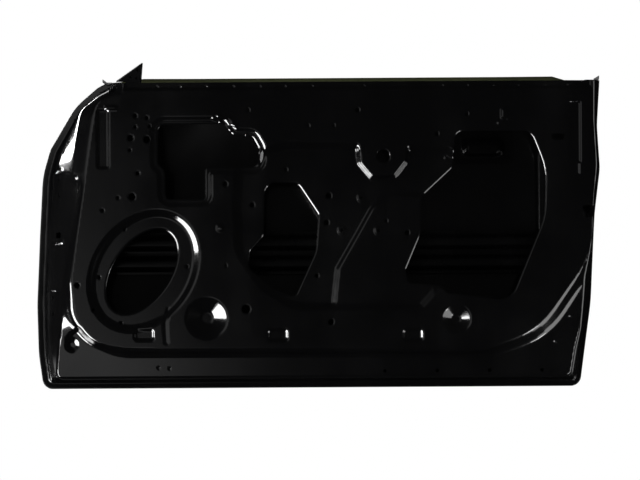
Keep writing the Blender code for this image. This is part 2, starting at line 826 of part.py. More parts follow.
def paint(name, colour, roughness, metallic=0.0):
    material = bpy.data.materials.new(name)
    material.use_nodes = True
    shader = material.node_tree.nodes["Principled BSDF"]
    shader.inputs["Base Color"].default_value = (*colour, 1.0)
    shader.inputs["Roughness"].default_value = roughness
    shader.inputs["Metallic"].default_value = metallic
    return material


# Pieces


def below_belt(path, top):
    """The closed ring cut off level at the given height, from its front end round to its rear end."""
    low = [point for point in path if point[1] < top - 1e-6]
    turn = next(i for i in range(len(path)) if path[i - 1][1] >= top - 1e-6 > path[i][1])
    ordered = [path[(turn + i) % len(path)] for i in range(len(low))]
    before, after = path[turn - 1], path[(turn + len(low)) % len(path)]
    first = before + (ordered[0] - before) * (top - before[1]) / (ordered[0][1] - before[1])
    last = ordered[-1] + (after - ordered[-1]) * (top - ordered[-1][1]) / (after[1] - ordered[-1][1])
    return np.array([first] + ordered + [last])


def outward(path):
    """Unit vectors that point out of an anticlockwise chain at each of its points."""
    before = np.vstack((path[:1] * 2 - path[1:2], path[:-1]))
    after = np.vstack((path[1:], path[-1:] * 2 - path[-2:-1]))
    along = after - before
    along /= np.linalg.norm(along, axis=1)[:, None]
    return np.column_stack((along[:, 1], -along[:, 0]))


def pad_hole(pad, z_offset, radius):
    """A round hole square to a slanted pad, as seen along Y."""
    shape = circle((0, 0), radius)
    return np.column_stack(
        (pad.at[0] + shape[:, 0] / math.hypot(1, pad.slope), pad.at[1] + z_offset + shape[:, 1])
    )


def check_slot(size_by):
    """Outline of the check link's slot in its pad, as seen along Y."""
    width = CHECK_SLOT[0] / math.hypot(1, CHECK_PAD.slope) + size_by
    return rounded(box_corners(CHECK_PAD.at, (width, CHECK_SLOT[1] + size_by), 3))


def inner_panel(material):
    domain = below_belt(HEM, BELT_Z)
    holes = [circle((x, z), radius) for x, z, radius in drawn(SMALL_HOLES) + list(SPEAKER_HOLES)]
    holes += [circle((SILL_HOLE_START + k * SILL_HOLE_PITCH, SILL_HOLE_Z), 4.0) for k in range(SILL_HOLE_COUNT)]
    holes += [circle(at, NUT_BORE + CLEARANCE) for at in PULL_NUTS]
    for pad in (UPPER_PAD, LOWER_PAD):
        holes += [pad_hole(pad, side * PAD_HOLE_PITCH / 2, PAD_HOLE_RADIUS) for side in (-1, 1)]
    cuts = [rounded(outline) for outline in (OPENING_A, OPENING_B, OPENING_C, HALF_MOON, LATCH_MOUTH)]
    cuts += [check_slot(0.0), circle(BOSS_HOLE, BOSS_HOLE_RADIUS, 14)]
    cuts += [ellipse(SPEAKER_AT, SPEAKER_LONG, SPEAKER_SHORT, SPEAKER_TILT)]
    creases = [WALL, LAND, FOOT, PLATEAU]
    for pressing in RAISED + PADS + (RECESS, BOSS, PULL_STEP):
        creases += pressing.creases()
    return pressed_sheet("inner_panel", panel_depth, domain, cuts + holes, creases, PANEL_SHEET, material)


def vertices_along(points, chain):
    """Indices of the points that lie on an open chain, in order along it."""
    run = []
    for a, b in zip(chain[:-1], chain[1:]):
        length = np.linalg.norm(b - a)
        along = (points - a) @ (b - a) / length
        aside = np.abs((points - a) @ np.array((a[1] - b[1], b[0] - a[0]))) / length
        on = np.flatnonzero((aside < 1e-3) & (along > -1e-3) & (along < length - 1e-3))
        run += sorted(on.tolist(), key=lambda i, along=along: along[i])
    run.append(int(np.linalg.norm(points - chain[-1], axis=1).argmin()))
    return run


def outer_skin(material):
    """The skin with its crown and handle pocket, hemmed round the inner panel and lipped along the belt."""
    chain = below_belt(HEM, BELT_Z)
    domain = np.vstack((chain, SKIN_TOP))
    grid = [(x, z) for x in np.linspace(FRONT_X + 90, REAR_X - 70, SKIN_COLUMNS) for z in SKIN_ROWS]
    creases = [WALL, rounded(box_corners(HANDLE_AT, HANDLE_PLATE, 16))] + HANDLE_POCKET.creases()
    cuts = [circle((x, HANDLE_AT[1]), HANDLE_HOLE_RADIUS, 12) for x in HANDLE_HOLES_X]
    points, faces = triangulated(domain, cuts, creases, grid)
    placed = [(x, depth, z) for (x, z), depth in zip(points, skin_depth(points))]
    faces = faces.tolist()

    def add_rows(start, rows):
        """Bands of faces from a run of vertices out through further rows of points."""
        last = start
        for row in rows:
            first = len(placed)
            placed.extend(row)
            here = list(range(first, first + len(row)))
            for i in range(len(row) - 1):
                faces.append((last[i], here[i], here[i + 1], last[i + 1]))
            last = here

    out = outward(chain)
    fold = PANEL_SHEET / 2 + CLEARANCE
    middle = edge_depth(chain[:, 1]) + PANEL_SHEET / 2
    rows = []
    for k in range(1, HEM_FOLD_STEPS + 1):
        angle = math.pi * k / HEM_FOLD_STEPS
        reach, lift = fold * math.sin(angle), fold * math.cos(angle)
        rows.append([(p[0] + n[0] * reach, m + lift, p[1] + n[1] * reach) for p, n, m in zip(chain, out, middle)])
    inner = chain - out * HEM_RETURN
    rows.append([(p[0], depth - CLEARANCE, p[1]) for p, depth in zip(inner, edge_depth(inner[:, 1]))])
    add_rows(vertices_along(points, chain), rows)
    belt = vertices_along(points, SKIN_TOP)
    add_rows(belt, [[(placed[i][0], placed[i][1] - BELT_LIP, placed[i][2]) for i in belt]])
    obj = finish("outer_skin", mesh_of("outer_skin", placed, faces), material)
    add_solidify(obj, SKIN_SHEET)
    return obj


def skin_backing(x, z, lift=0.0, sheet=BRACKET_SHEET):
    """Middle of a sheet that lies inside the skin, lifted off it towards the cabin."""
    return offset_point(skin_depth, x, z, -(SKIN_CLEARANCE + sheet / 2 + lift))


def panel_backing(x, z, lift=0.0, sheet=BRACKET_SHEET):
    """Middle of a sheet that lies behind the inner panel, lifted off it towards the skin."""
    return offset_point(panel_depth, x, z, PANEL_SHEET + CLEARANCE + sheet / 2 + lift)


def belt_reinforcements(material):
    rows = []
    for x in np.linspace(FLAG_FOOT_X[1] + 20, REAR_X - BELT_END_INSET, 9):
        section = ((8, 0), (20, 0), (27, BELT_RAIL), (52, BELT_RAIL), (58, 0), (70, 0))
        rows.append([skin_backing(x, SKIN_BELT_Z - down, lift) for down, lift in section])
    lofted_sheet("belt_reinforcement_outer", rows, BRACKET_SHEET, material)
    behind = PANEL_SHEET + CLEARANCE + BRACKET_SHEET / 2
    flange = BELT_FLANGE_SET + behind
    section = ((3, flange), (15, flange), (25, BELT_BOX_DEPTH), (50, BELT_BOX_DEPTH), (57, behind), (65, behind))
    rows = [
        [(x, depth, BELT_Z - down) for down, depth in section]
        for x in (FLAG_FOOT_X[1] + 24, REAR_X - BELT_END_INSET + 15)
    ]
    lofted_sheet("belt_reinforcement_inner", rows, BRACKET_SHEET, material)


BEAM_DEPTH = float(edge_depth(np.array([BEAM_Z - BEAM_HALF_HEIGHT]))[0]) - BEAM_STAND_OFF


def beam_section():
    """Corrugated section of the impact beam, as (height, depth), from its upper flange down."""
    half, rib = BEAM_HALF_HEIGHT, BEAM_RIB_DEPTH
    upper = ((half, 0), (half * 0.82, 0), (half * 0.66, rib), (half * 0.32, rib), (half * 0.16, 0))
    return upper + tuple((-height, lift) for height, lift in reversed(upper))


def impact_beam(material):
    front, rear = FRONT_X + BEAM_FRONT_INSET, REAR_X - BEAM_REAR_INSET
    rows = [
        [(x, BEAM_DEPTH - lift, BEAM_Z + height) for height, lift in beam_section()]
        for x in (front, (front + rear) / 2, rear)
    ]
    lofted_sheet("impact_beam", rows, BEAM_SHEET, material)
    behind = BEAM_DEPTH + BEAM_SHEET / 2 + CLEARANCE + BRACKET_SHEET / 2
    rows = []
    for share in np.linspace(0, 1, 4):
        z = BEAM_Z + BEAM_HALF_HEIGHT * (0.9 - 1.8 * share)
        foot_z = BEAM_FOOT_TOP_Z - BEAM_FOOT_HEIGHT * share
        foot = [panel_backing(x, foot_z, BEAM_FOOT_LIFT) for x in (-16.0, -4.0, 6.0)]
        rows.append([(front + BEAM_BRACKET_LAP, behind, z), (front - 12, behind, z), (front - 50, behind, z)] + foot)
    lofted_sheet("impact_beam_front_bracket", rows, BRACKET_SHEET, material)
    rows = []
    for share in np.linspace(0, 1, 4):
        z = BEAM_Z + BEAM_HALF_HEIGHT * (0.9 - 1.8 * share)
        foot_z = BEAM_FOOT_TOP_Z - BEAM_FOOT_HEIGHT * share
        foot = [latch_wall(depth, foot_z, BRACKET_SHEET / 2) for depth in (behind - 16, behind - 34)]
        knee = latch_wall(behind, foot_z, 12.0)
        rows.append([(rear - BEAM_BRACKET_LAP, behind, z), (rear + 12, behind, z), knee] + foot)
    lofted_sheet("impact_beam_rear_bracket", rows, BRACKET_SHEET, material)


def flutter_beads(material):
    near = BEAM_DEPTH + BEAM_SHEET / 2 + CLEARANCE
    for count, x in enumerate(BEAD_X, start=1):
        outline = rounded(box_corners((x, BEAM_Z), BEAD_SIZE, BEAD_SIZE[1] / 2))
        far = skin_depth(outline) - SKIN_CLEARANCE
        name = f"flutter_bead_{count}"
        points = [(x, near, z) for x, z in outline] + [(x, d, z) for (x, z), d in zip(outline, far)]
        sides = len(outline)
        faces = [(i, (i + 1) % sides, sides + (i + 1) % sides, sides + i) for i in range(sides)]
        faces += [tuple(reversed(range(sides))), tuple(sides + i for i in range(sides))]
        finish(name, facing_out(mesh_of(name, points, faces)), material)


def handle_reinforcement(material):
    outline = rounded(box_corners(HANDLE_AT, HANDLE_PLATE, 16))
    cuts = [circle((x, HANDLE_AT[1]), HANDLE_SCREW_RADIUS, 12) for x in HANDLE_SCREWS_X]
    distance = -(SKIN_CLEARANCE + BRACKET_SHEET)
    creases = HANDLE_POCKET.creases()
    pressed_sheet(
        "outer_handle_reinforcement", skin_depth, outline, cuts, creases, BRACKET_SHEET, material, distance
    )


def on_pad(pad):
    """Placing of points given along a slanted pad and in height, at a distance behind its cabin face."""
    size = math.hypot(1, pad.slope)
    depth = pad.plane(np.array([pad.at]))[0]

    def place(s, z, distance):
        return (
            pad.at[0] + (s + distance * pad.slope) / size,
            depth + (distance - s * pad.slope) / size,
            pad.at[1] + z,
        )

    return place


def plate_on(name, place, size, cuts, behind, thickness, material, radius=8):
    """A flat plate with rounded corners and holes, lying a distance behind a plane."""
    points, faces = triangulated(rounded(box_corners((0, 0), size, radius)), cuts, [])
    placed = [place(s, z, behind) for s, z in points]
    obj = finish(name, mesh_of(name, placed, faces.tolist()), material)
    add_solidify(obj, thickness)
    return obj


def hinge_reinforcements(material, plate_material):
    behind = PANEL_SHEET + CLEARANCE
    for where, pad in (("upper", UPPER_PAD), ("lower", LOWER_PAD)):
        place = on_pad(pad)
        width = 2 * (pad.half_width - PAD_WALL - 1) * math.hypot(1, pad.slope)
        cuts = [circle((0, side * PAD_HOLE_PITCH / 2), PAD_HOLE_RADIUS + 1) for side in (-1, 1)]
        size = (width, PAD_HEIGHT - 2 * PAD_WALL - 2)
        plate_on(f"hinge_reinforcement_{where}", place, size, cuts, behind, PLATE_SHEET, material)
        cuts = [circle((0, side * PAD_HOLE_PITCH / 2), PAD_HOLE_RADIUS - 1) for side in (-1, 1)]
        size = (TAPPED_PLATE_WIDTH, PAD_HOLE_PITCH + 18)
        deeper = behind + PLATE_SHEET + CLEARANCE
        plate_on(f"hinge_tapped_plate_{where}", place, size, cuts, deeper, TAPPED_PLATE, plate_material, 5)
    place = on_pad(CHECK_PAD)
    width = 2 * (CHECK_PAD.half_width - PAD_WALL - 1) * math.hypot(1, CHECK_PAD.slope)
    slot = rounded(box_corners((0, 0), (CHECK_SLOT[0] + 2, CHECK_SLOT[1] + 2), 3))
    size = (width, CHECK_PAD_HEIGHT - 2 * PAD_WALL - 2)
    plate_on("check_link_reinforcement", place, size, [slot], behind, PLATE_SHEET, material)


def latch_wall(depth, z, inward):
    """Place at a depth and height on the cavity side of the latch face, moved inwards by a distance."""
    level = np.array([(REAR_X - 40, z)])
    edges = []
    for ring in (LAND, WALL):
        turn = next(
            i for i in range(len(ring)) if ring[i - 1][1] <= z < ring[i][1] and ring[i][0] > REAR_X - 200
        )
        a, b = ring[turn - 1], ring[turn]
        edges.append(a[0] + (b[0] - a[0]) * (z - a[1]) / (b[1] - a[1]))
    low = 3.0 + (LAND_DEPTH - 3.0) * float(rear_fade(level)[0])
    high = float(edge_depth(np.array([z]))[0])
    x = edges[0] + (edges[1] - edges[0]) * (depth - low) / (high - low)
    return x - PANEL_SHEET - SAMPLED_CLEARANCE - inward, depth, z


def latch_reinforcement(material):
    """Plate behind the latch face, drawn as depth by height and laid on the wall."""
    outline = rounded(
        box_corners(((LATCH_PLATE_DEPTH[0] + LATCH_PLATE_DEPTH[1]) / 2, LATCH_AT_Z),
                    (LATCH_PLATE_DEPTH[1] - LATCH_PLATE_DEPTH[0], LATCH_PLATE_HEIGHT), 10)
    )
    mouth = rounded(box_corners((LATCH_MOUTH_DEPTH / 2, LATCH_AT_Z), (LATCH_MOUTH_DEPTH, LATCH_MOUTH_HEIGHT + 4), 4))
    screws = [circle(at, LATCH_SCREW_RADIUS + 0.5) for at in LATCH_SCREWS]
    levels = [z for z in HEM[:, 1] if abs(z - LATCH_AT_Z) < LATCH_PLATE_HEIGHT / 2]
    grid = [(depth, z) for depth in np.linspace(*LATCH_PLATE_DEPTH, 4) for z in levels]
    points, faces = triangulated(outline, [mouth] + screws, [], grid)
    placed = [latch_wall(depth, z, 0.0) for depth, z in points]
    obj = finish("latch_reinforcement", mesh_of("latch_reinforcement", placed, faces.tolist()), material)
    add_solidify(obj, PLATE_SHEET)
    return obj


def flag_depth(points):
    """Depth of the mirror flag, with its two upper edges turned outwards."""
    share = ramp(nearest(points, FLAG_BEND)[0] / FLAG_EDGE_RUN)
    return FLAG_DEPTH + FLAG_EDGE * (1 - share)


def mirror_flag(material):
    cuts = [circle(at, MIRROR_HOLE_RADIUS) for at in MIRROR_NUTS]
    crease = inset(FLAG_BEND_CORNERS, FLAG_EDGE_RUN)
    outline = rounded(FLAG_CORNERS)
    pressed_sheet("mirror_flag", flag_depth, outline, cuts, [rounded(crease)], BRACKET_SHEET, material)
    behind = FLAG_DEPTH + BRACKET_SHEET + CLEARANCE
    plate = rounded(inset(FLAG_CORNERS, FLAG_EDGE_RUN + BRACKET_SHEET + 3))
    pressed_sheet(
        "mirror_reinforcement", lambda p: np.full(len(p), behind), plate, cuts, [], MIRROR_SHEET, material
    )
    foot = behind + MIRROR_SHEET + CLEARANCE
    for count, at in enumerate(MIRROR_NUTS, start=1):
        turned_solid(f"mirror_nut_{count}", at, (foot, foot + NUT_HEIGHT), NUT_RADIUS, NUT_BORE, material)


def glass_run_brackets(material):
    for where, flange_x, top_z, low_z, way in (
        ("front", GLASS_RUN_FRONT_X, *GLASS_RUN_FRONT_Z, 1),
        ("rear", GLASS_RUN_REAR_X, *GLASS_RUN_REAR_Z, -1),
    ):
        near = PANEL_SHEET + CLEARANCE + BRACKET_SHEET / 2
        section = ((-14, near), (0, near), (0, GLASS_DEPTH), (way * 22, GLASS_DEPTH), (way * 22, GLASS_DEPTH + 16),
                   (0, GLASS_DEPTH + 16))
        if way < 0:
            section = ((14, near),) + section[1:]
        rows = [[(flange_x + across, depth, z) for across, depth in section] for z in (top_z, low_z)]
        lofted_sheet(f"glass_run_bracket_{where}", rows, BRACKET_SHEET, material)


def pull_nuts(material):
    for count, at in enumerate(PULL_NUTS, start=1):
        seat = float(panel_depth([at])[0]) + PANEL_SHEET + CLEARANCE
        turned_solid(f"pull_nut_{count}", at, (seat, seat + NUT_HEIGHT), NUT_RADIUS + 2, NUT_BORE, material)


def carrier_stud(material):
    seat = float(panel_depth([STUD_AT])[0]) - CLEARANCE
    turned_solid("carrier_stud", STUD_AT, (seat - STUD_LENGTH, seat), STUD_RADIUS, 0.0, material)


def belt_corner_brackets(material):
    level = BELT_Z + SAMPLED_CLEARANCE + BRACKET_SHEET / 2
    front = ((118.0, level + 8), (118.0, level), (FLAG_FOOT_X[0] - 6, level))
    rear = ((REAR_X - 52, level), (REAR_X - 18, level), (REAR_X - 18, level + 10))
    for where, section in (("front", front), ("rear", rear)):
        rows = [[(x, depth, z) for x, z in section] for depth in CORNER_BRACKET_DEPTH]
        lofted_sheet(f"belt_corner_bracket_{where}", rows, BRACKET_SHEET, material)


def build_door():
    for obj in list(bpy.data.objects):
        bpy.data.objects.remove(obj)
    primer = paint("black_dip_primer", (0.012, 0.012, 0.014), 0.18)
    bracket = paint("bracket_primer", (0.014, 0.014, 0.015), 0.24)
    fastener = paint("fastener_primer", (0.02, 0.02, 0.021), 0.3)
    mastic = paint("mastic", (0.03, 0.03, 0.032), 0.7)
    inner_panel(primer)
    outer_skin(primer)
    mirror_flag(bracket)
    belt_reinforcements(bracket)
    impact_beam(bracket)
    flutter_beads(mastic)
    handle_reinforcement(bracket)
    hinge_reinforcements(bracket, fastener)
    latch_reinforcement(bracket)
    glass_run_brackets(bracket)
    pull_nuts(fastener)
    carrier_stud(fastener)
    belt_corner_brackets(bracket)


build_door()
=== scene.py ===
import math

import bmesh
import bpy
import numpy as np
from mathutils import Euler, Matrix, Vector
from mathutils.geometry import delaunay_2d_cdt


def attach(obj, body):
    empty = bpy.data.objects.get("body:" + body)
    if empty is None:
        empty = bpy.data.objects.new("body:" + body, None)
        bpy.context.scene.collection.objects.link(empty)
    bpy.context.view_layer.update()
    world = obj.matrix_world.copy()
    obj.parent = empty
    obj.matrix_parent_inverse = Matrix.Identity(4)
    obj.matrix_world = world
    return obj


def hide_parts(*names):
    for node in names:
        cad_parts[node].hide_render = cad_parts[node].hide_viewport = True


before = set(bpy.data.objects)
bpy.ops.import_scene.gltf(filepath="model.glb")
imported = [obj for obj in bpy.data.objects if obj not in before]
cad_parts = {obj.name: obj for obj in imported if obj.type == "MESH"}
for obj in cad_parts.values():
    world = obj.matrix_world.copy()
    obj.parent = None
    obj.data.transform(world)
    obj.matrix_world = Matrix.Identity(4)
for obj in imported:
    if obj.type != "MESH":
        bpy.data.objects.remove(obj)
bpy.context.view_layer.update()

# Inner panel: one deep-drawn steel sheet, 0.9 mm thick, that carries the hinges, speaker, window lift and
# latch, pressed with all its recesses, pierced, and dipped in glossy black primer. Lengths are in millimetres
# from the upper hinge, and depth grows towards the outside.

MM = 0.001
HINGE_DATUM_DEPTH = 92.0
FRONT_X = -57.5
REAR_X = 1330.0
BELT_Z = 247.0
SILL_Z = -493.0
ABOVE = BELT_Z + 400.0
PANEL_SHEET = 0.9
SHOULDER_Z = 50.0
SHOULDER_DEPTH = 135.0
TURN_UNDER = 39.0
BELT_TURN_IN = 17.0
SKIN_BELT_Z = 265.0
HEM_FLANGE = 17.0
LAND_DEPTH = 26.0
LAND_DEPTH_FADED = 3.0
LAND_FOOT_DEPTH = 22.0
LAND_FOOT_DEPTH_FADED = 1.5
LATCH_END_X = REAR_X - 200.0
LATCH_END_FADE_Z = (-232.0, -165.0)
GUSSET_LIFT = 8.0
GUSSET_Z = (-350.0, -235.0)
GUSSET_RISE = 60.0
GUSSET_FALL = 9.0
GUSSET_REAR_X = 100.0
ARC = math.radians(7.0)


def turned_left(corners):
    """The same outline, running so that its inside lies to the left."""
    area = sum(a[0] * b[1] - b[0] * a[1] for a, b in zip(corners, corners[1:] + corners[:1]))
    return corners if area > 0 else corners[::-1]


def rounded(corners):
    """Outline through corners, each rounded by its fillet radius, with its inside to the left."""
    corners = turned_left(corners)
    points = []
    count = len(corners)
    for i, (x, z, radius) in enumerate(corners):
        here = np.array((x, z))
        back = np.array(corners[i - 1][:2]) - here
        ahead = np.array(corners[(i + 1) % count][:2]) - here
        back_length = np.linalg.norm(back)
        ahead_length = np.linalg.norm(ahead)
        back = back / back_length
        ahead = ahead / ahead_length
        half = math.acos(max(-1.0, min(1.0, float(back @ ahead)))) / 2
        turn = math.pi - 2 * half
        if radius < 0.5 or turn < 0.02:
            points.append(here)
            continue
        reach = min(radius / math.tan(half), 0.48 * back_length, 0.48 * ahead_length)
        radius = reach * math.tan(half)
        middle = back + ahead
        centre = here + middle / np.linalg.norm(middle) * radius / math.sin(half)
        start = here + back * reach - centre
        steps = max(3, math.ceil(turn / ARC))
        way = math.copysign(turn, back[1] * ahead[0] - back[0] * ahead[1])
        for k in range(steps + 1):
            cos = math.cos(way * k / steps)
            sin = math.sin(way * k / steps)
            points.append(centre + (start[0] * cos - start[1] * sin, start[0] * sin + start[1] * cos))
    return np.array(points)


def inset(corners, distance):
    """Corners of the outline moved inwards, or outwards where the distance is negative."""
    corners = turned_left(corners)
    moved = []
    count = len(corners)
    for i, (x, z, radius) in enumerate(corners):
        here = np.array((x, z))
        into = here - np.array(corners[i - 1][:2])
        out = np.array(corners[(i + 1) % count][:2]) - here
        into = into / np.linalg.norm(into)
        out = out / np.linalg.norm(out)
        left_in = np.array((-into[1], into[0]))
        left_out = np.array((-out[1], out[0]))
        middle = left_in + left_out
        at = here + middle * distance / max(0.2, 1 + float(left_in @ left_out))
        turns_left = into[0] * out[1] - into[1] * out[0] > 0
        new_radius = radius - distance if turns_left else radius + distance
        moved.append((at[0], at[1], max(new_radius, min(radius, 3.0))))
    return moved


def divided(path, step):
    """The closed path with its long stretches divided, apart from those that run far above the door."""
    points = []
    for a, b in zip(path, np.roll(path, -1, axis=0)):
        on_door = max(a[1], b[1]) < ABOVE - 1
        pieces = max(1, math.ceil(np.linalg.norm(b - a) / step)) if on_door else 1
        points += [a + (b - a) * k / pieces for k in range(pieces)]
    return np.array(points)


def circle(at, radius, sides=24):
    angles = (np.arange(sides) + 0.5) * 2 * math.pi / sides
    return np.column_stack((at[0] + radius * np.cos(angles), at[1] + radius * np.sin(angles)))


def ellipse(at, long_half, short_half, tilt, sides=120):
    angles = np.arange(sides) * 2 * math.pi / sides
    u = long_half * np.cos(angles)
    v = short_half * np.sin(angles)
    return np.column_stack(
        (at[0] + u * math.cos(tilt) - v * math.sin(tilt), at[1] + u * math.sin(tilt) + v * math.cos(tilt))
    )


def box_corners(at, size, radius):
    """Corners of an upright box about its middle."""
    halves = ((-0.5, -0.5), (0.5, -0.5), (0.5, 0.5), (-0.5, 0.5))
    return [(at[0] + size[0] * a, at[1] + size[1] * b, radius) for a, b in halves]


def nearest(points, path, batch=2500):
    """Distance of each point to the closed path, positive inside it, and the nearest place on it."""
    ends = np.roll(path, -1, axis=0)
    runs = ends - path
    length2 = np.maximum((runs**2).sum(axis=1), 1e-9)
    rise = np.where(runs[:, 1] == 0, 1.0, runs[:, 1])
    distances = np.empty(len(points))
    places = np.empty((len(points), 2))
    for first in range(0, len(points), batch):
        some = points[first : first + batch]
        away_x = some[:, None, 0] - path[None, :, 0]
        away_z = some[:, None, 1] - path[None, :, 1]
        share = np.clip((away_x * runs[:, 0] + away_z * runs[:, 1]) / length2, 0, 1)
        gap_x = away_x - share * runs[:, 0]
        gap_z = away_z - share * runs[:, 1]
        distance2 = gap_x * gap_x + gap_z * gap_z
        best = distance2.argmin(axis=1)
        rows = np.arange(len(some))
        along = share[rows, best]
        z = some[:, None, 1]
        crosses = (path[None, :, 1] > z) != (ends[None, :, 1] > z)
        at_x = path[None, :, 0] + away_z * runs[None, :, 0] / rise[None, :]
        inside = (crosses & (some[:, None, 0] < at_x)).sum(axis=1) % 2 == 1
        distance = np.sqrt(distance2[rows, best])
        distances[first : first + batch] = np.where(inside, distance, -distance)
        places[first : first + batch] = path[best] + along[:, None] * runs[best]
    return distances, places


def in_box(points, path, margin=0.0):
    """Which of the points lie in the box round a path, widened by a margin."""
    low = path.min(axis=0) - margin
    high = path.max(axis=0) + margin
    return ((points > low) & (points < high)).all(axis=1)


def soft(share, fillet):
    """Ramp from 0 to 1 whose two corners are rounded over the fillet, given as a share of the wall."""

    def bend(value):
        low = (np.clip(value, -fillet, fillet) + fillet) ** 2 / (4 * fillet)
        return np.where(value > fillet, value, low)

    return bend(share) - bend(share - 1)


class Pressing:
    """A pressed area: its outline at the top of the wall, the width of the wall inside it, and its depth."""

    def __init__(self, outline, wall, depth, fillet=2.6):
        drawn = isinstance(outline, np.ndarray)
        self.outline = outline if drawn else rounded(outline)
        self.wall = wall
        self.depth = depth
        self.fillet = fillet

    def signed(self, points):
        return nearest(points, self.outline)[0]

    def share(self, points):
        near = in_box(points, self.outline, self.fillet + 0.5)
        share = np.zeros(len(points))
        if near.any():
            share[near] = soft(self.signed(points[near]) / self.wall, self.fillet / self.wall)
        return share

    def lift(self, points):
        return self.depth * self.share(points)


class Dimple(Pressing):
    """A round pressing with a conical wall."""

    def __init__(self, at, radius, depth, wall, fillet=2.2):
        super().__init__(circle(at, radius, 12), wall, depth, fillet)
        self.at = np.array(at)
        self.radius = radius

    def signed(self, points):
        return self.radius - np.linalg.norm(points - self.at, axis=1)


class Crease(Pressing):
    """A narrow pressed bead along an open line, as a half width and a height over its centre."""

    def __init__(self, line, half_width, height):
        super().__init__(np.array(line, float), half_width, -height)

    def share(self, points):
        near = in_box(points, self.outline, self.wall)
        share = np.zeros(len(points))
        if near.any():
            some = points[near]
            closest = np.full(len(some), 1e9)
            for a, b in zip(self.outline[:-1], self.outline[1:]):
                run = b - a
                place = np.clip(((some - a) @ run) / (run @ run), 0, 1)
                closest = np.minimum(closest, np.linalg.norm(some - a - place[:, None] * run, axis=1))
            rise = np.clip(1 - closest / self.wall, 0, 1)
            share[near] = rise * rise * (3 - 2 * rise)
        return share


HEM_CORNERS = [
    (113.0, ABOVE, 0), (113.0, BELT_Z + 7, 8), (93.0, BELT_Z - 4, 50), (38.0, 197.0, 150),
    (-25.0, 93.0, 60), (-44.0, 30.0, 240), (FRONT_X + 6, -120.0, 500), (FRONT_X, -290.0, 500),
    (FRONT_X + 5, -410.0, 300), (FRONT_X + 18, SILL_Z, 24), (REAR_X - 58, SILL_Z, 24),
    (REAR_X - 27, -290.0, 500), (REAR_X - 14, -72.0, 300), (REAR_X, 40.0, 120),
    (REAR_X - 7, 145.0, 200), (REAR_X - 2, BELT_Z + 10, 0), (REAR_X - 2, ABOVE, 0),
]
WALL_CORNERS = [
    (x + (5.0 if x > REAR_X - 90 else 0.0), z, radius) for x, z, radius in inset(HEM_CORNERS, HEM_FLANGE)
]
LAND_CORNERS = [
    (140.0, ABOVE, 0), (140.0, BELT_Z - 10, 14), (104.0, 219.0, 60), (60.0, 184.0, 36),
    (48.0, 110.0, 150), (39.0, 24.0, 40), (54.0, 2.0, 12), (49.0, -30.0, 30), (31.0, -139.0, 300),
    (16.0, -228.0, 120), (11.0, -339.0, 200), (-1.0, SILL_Z + 27, 16), (REAR_X - 87, SILL_Z + 27, 16),
    (REAR_X - 75, -398.0, 60), (REAR_X - 63, -352.0, 80), (REAR_X - 52, -224.0, 60),
    (REAR_X - 35, -130.0, 120), (REAR_X - 31.5, -40.0, 300), (REAR_X - 23.5, 45.0, 150),
    (REAR_X - 29.5, 150.0, 200), (REAR_X - 30.5, ABOVE, 0),
]
FOOT_CORNERS = [
    (143.0, ABOVE, 0), (143.0, BELT_Z - 12, 14), (106.0, 216.0, 60), (63.0, 181.0, 36),
    (51.0, 110.0, 150), (42.0, 26.0, 36), (57.0, 3.0, 12), (52.0, -30.0, 30), (34.5, -139.0, 300),
    (21.0, -222.0, 100), (27.0, -316.0, 90), (72.0, -374.0, 110), (150.0, SILL_Z + 85, 120),
    (REAR_X - 275, SILL_Z + 81, 260), (REAR_X - 142, -370.0, 210), (REAR_X - 56, -232.0, 100),
    (REAR_X - 36.5, -130.0, 120), (REAR_X - 33, -40.0, 300), (REAR_X - 25, 45.0, 150),
    (REAR_X - 31, 150.0, 200), (REAR_X - 32, ABOVE, 0),
]
PLATEAU_CORNERS = [
    (168.0, ABOVE, 0), (168.0, BELT_Z - 19, 14), (112.0, 213.0, 40), (98.0, 192.0, 20),
    (88.0, 135.0, 120), (66.0, -18.0, 500), (49.0, -130.0, 500), (36.0, -230.0, 70), (46.0, -318.0, 70),
    (96.0, -384.0, 110), (180.0, SILL_Z + 97, 200), (REAR_X - 300, SILL_Z + 92, 240),
    (REAR_X - 168, -354.0, 210), (REAR_X - 62, -210.0, 170), (REAR_X - 38, -130.0, 120),
    (REAR_X - 34.5, -40.0, 300), (REAR_X - 26.5, 45.0, 150), (REAR_X - 32.5, 150.0, 200),
    (REAR_X - 33.5, ABOVE, 0),
]
RING_CORNERS = (HEM_CORNERS, WALL_CORNERS, LAND_CORNERS, FOOT_CORNERS, PLATEAU_CORNERS)
RINGS = [rounded(corners) for corners in RING_CORNERS]
HEM, WALL, LAND, _, PLATEAU = RINGS
RIM_FILLETS = (0.0, 5.0, 3.6, 7.0)
RIM_MARGIN = 6.0
RIM_CLEAR_X = (190.0, 1100.0)
RIM_CLEAR_Z = -340.0


def edge_depth(z):
    """Depth of the skin's inner face along the hem, from the side section of the door."""
    below = ((SHOULDER_Z - z) / (SHOULDER_Z - SILL_Z)) ** 2 * TURN_UNDER
    over = ((z - SHOULDER_Z) / (SKIN_BELT_Z - SHOULDER_Z)) ** 2 * BELT_TURN_IN
    return SHOULDER_DEPTH - np.where(z < SHOULDER_Z, below, over)


def rear_fade(place):
    """How much of the seal land's depth is left: at the latch end it fades out above the lower corner."""
    low, high = LATCH_END_FADE_Z
    rise = np.clip((place[:, 1] - low) / (high - low), 0, 1)
    return np.where(place[:, 0] > LATCH_END_X, 1 - rise, 1.0)


def land_depth(place):
    """Depth of the seal land, which loses most of it at the latch end."""
    return LAND_DEPTH_FADED + (LAND_DEPTH - LAND_DEPTH_FADED) * rear_fade(place)


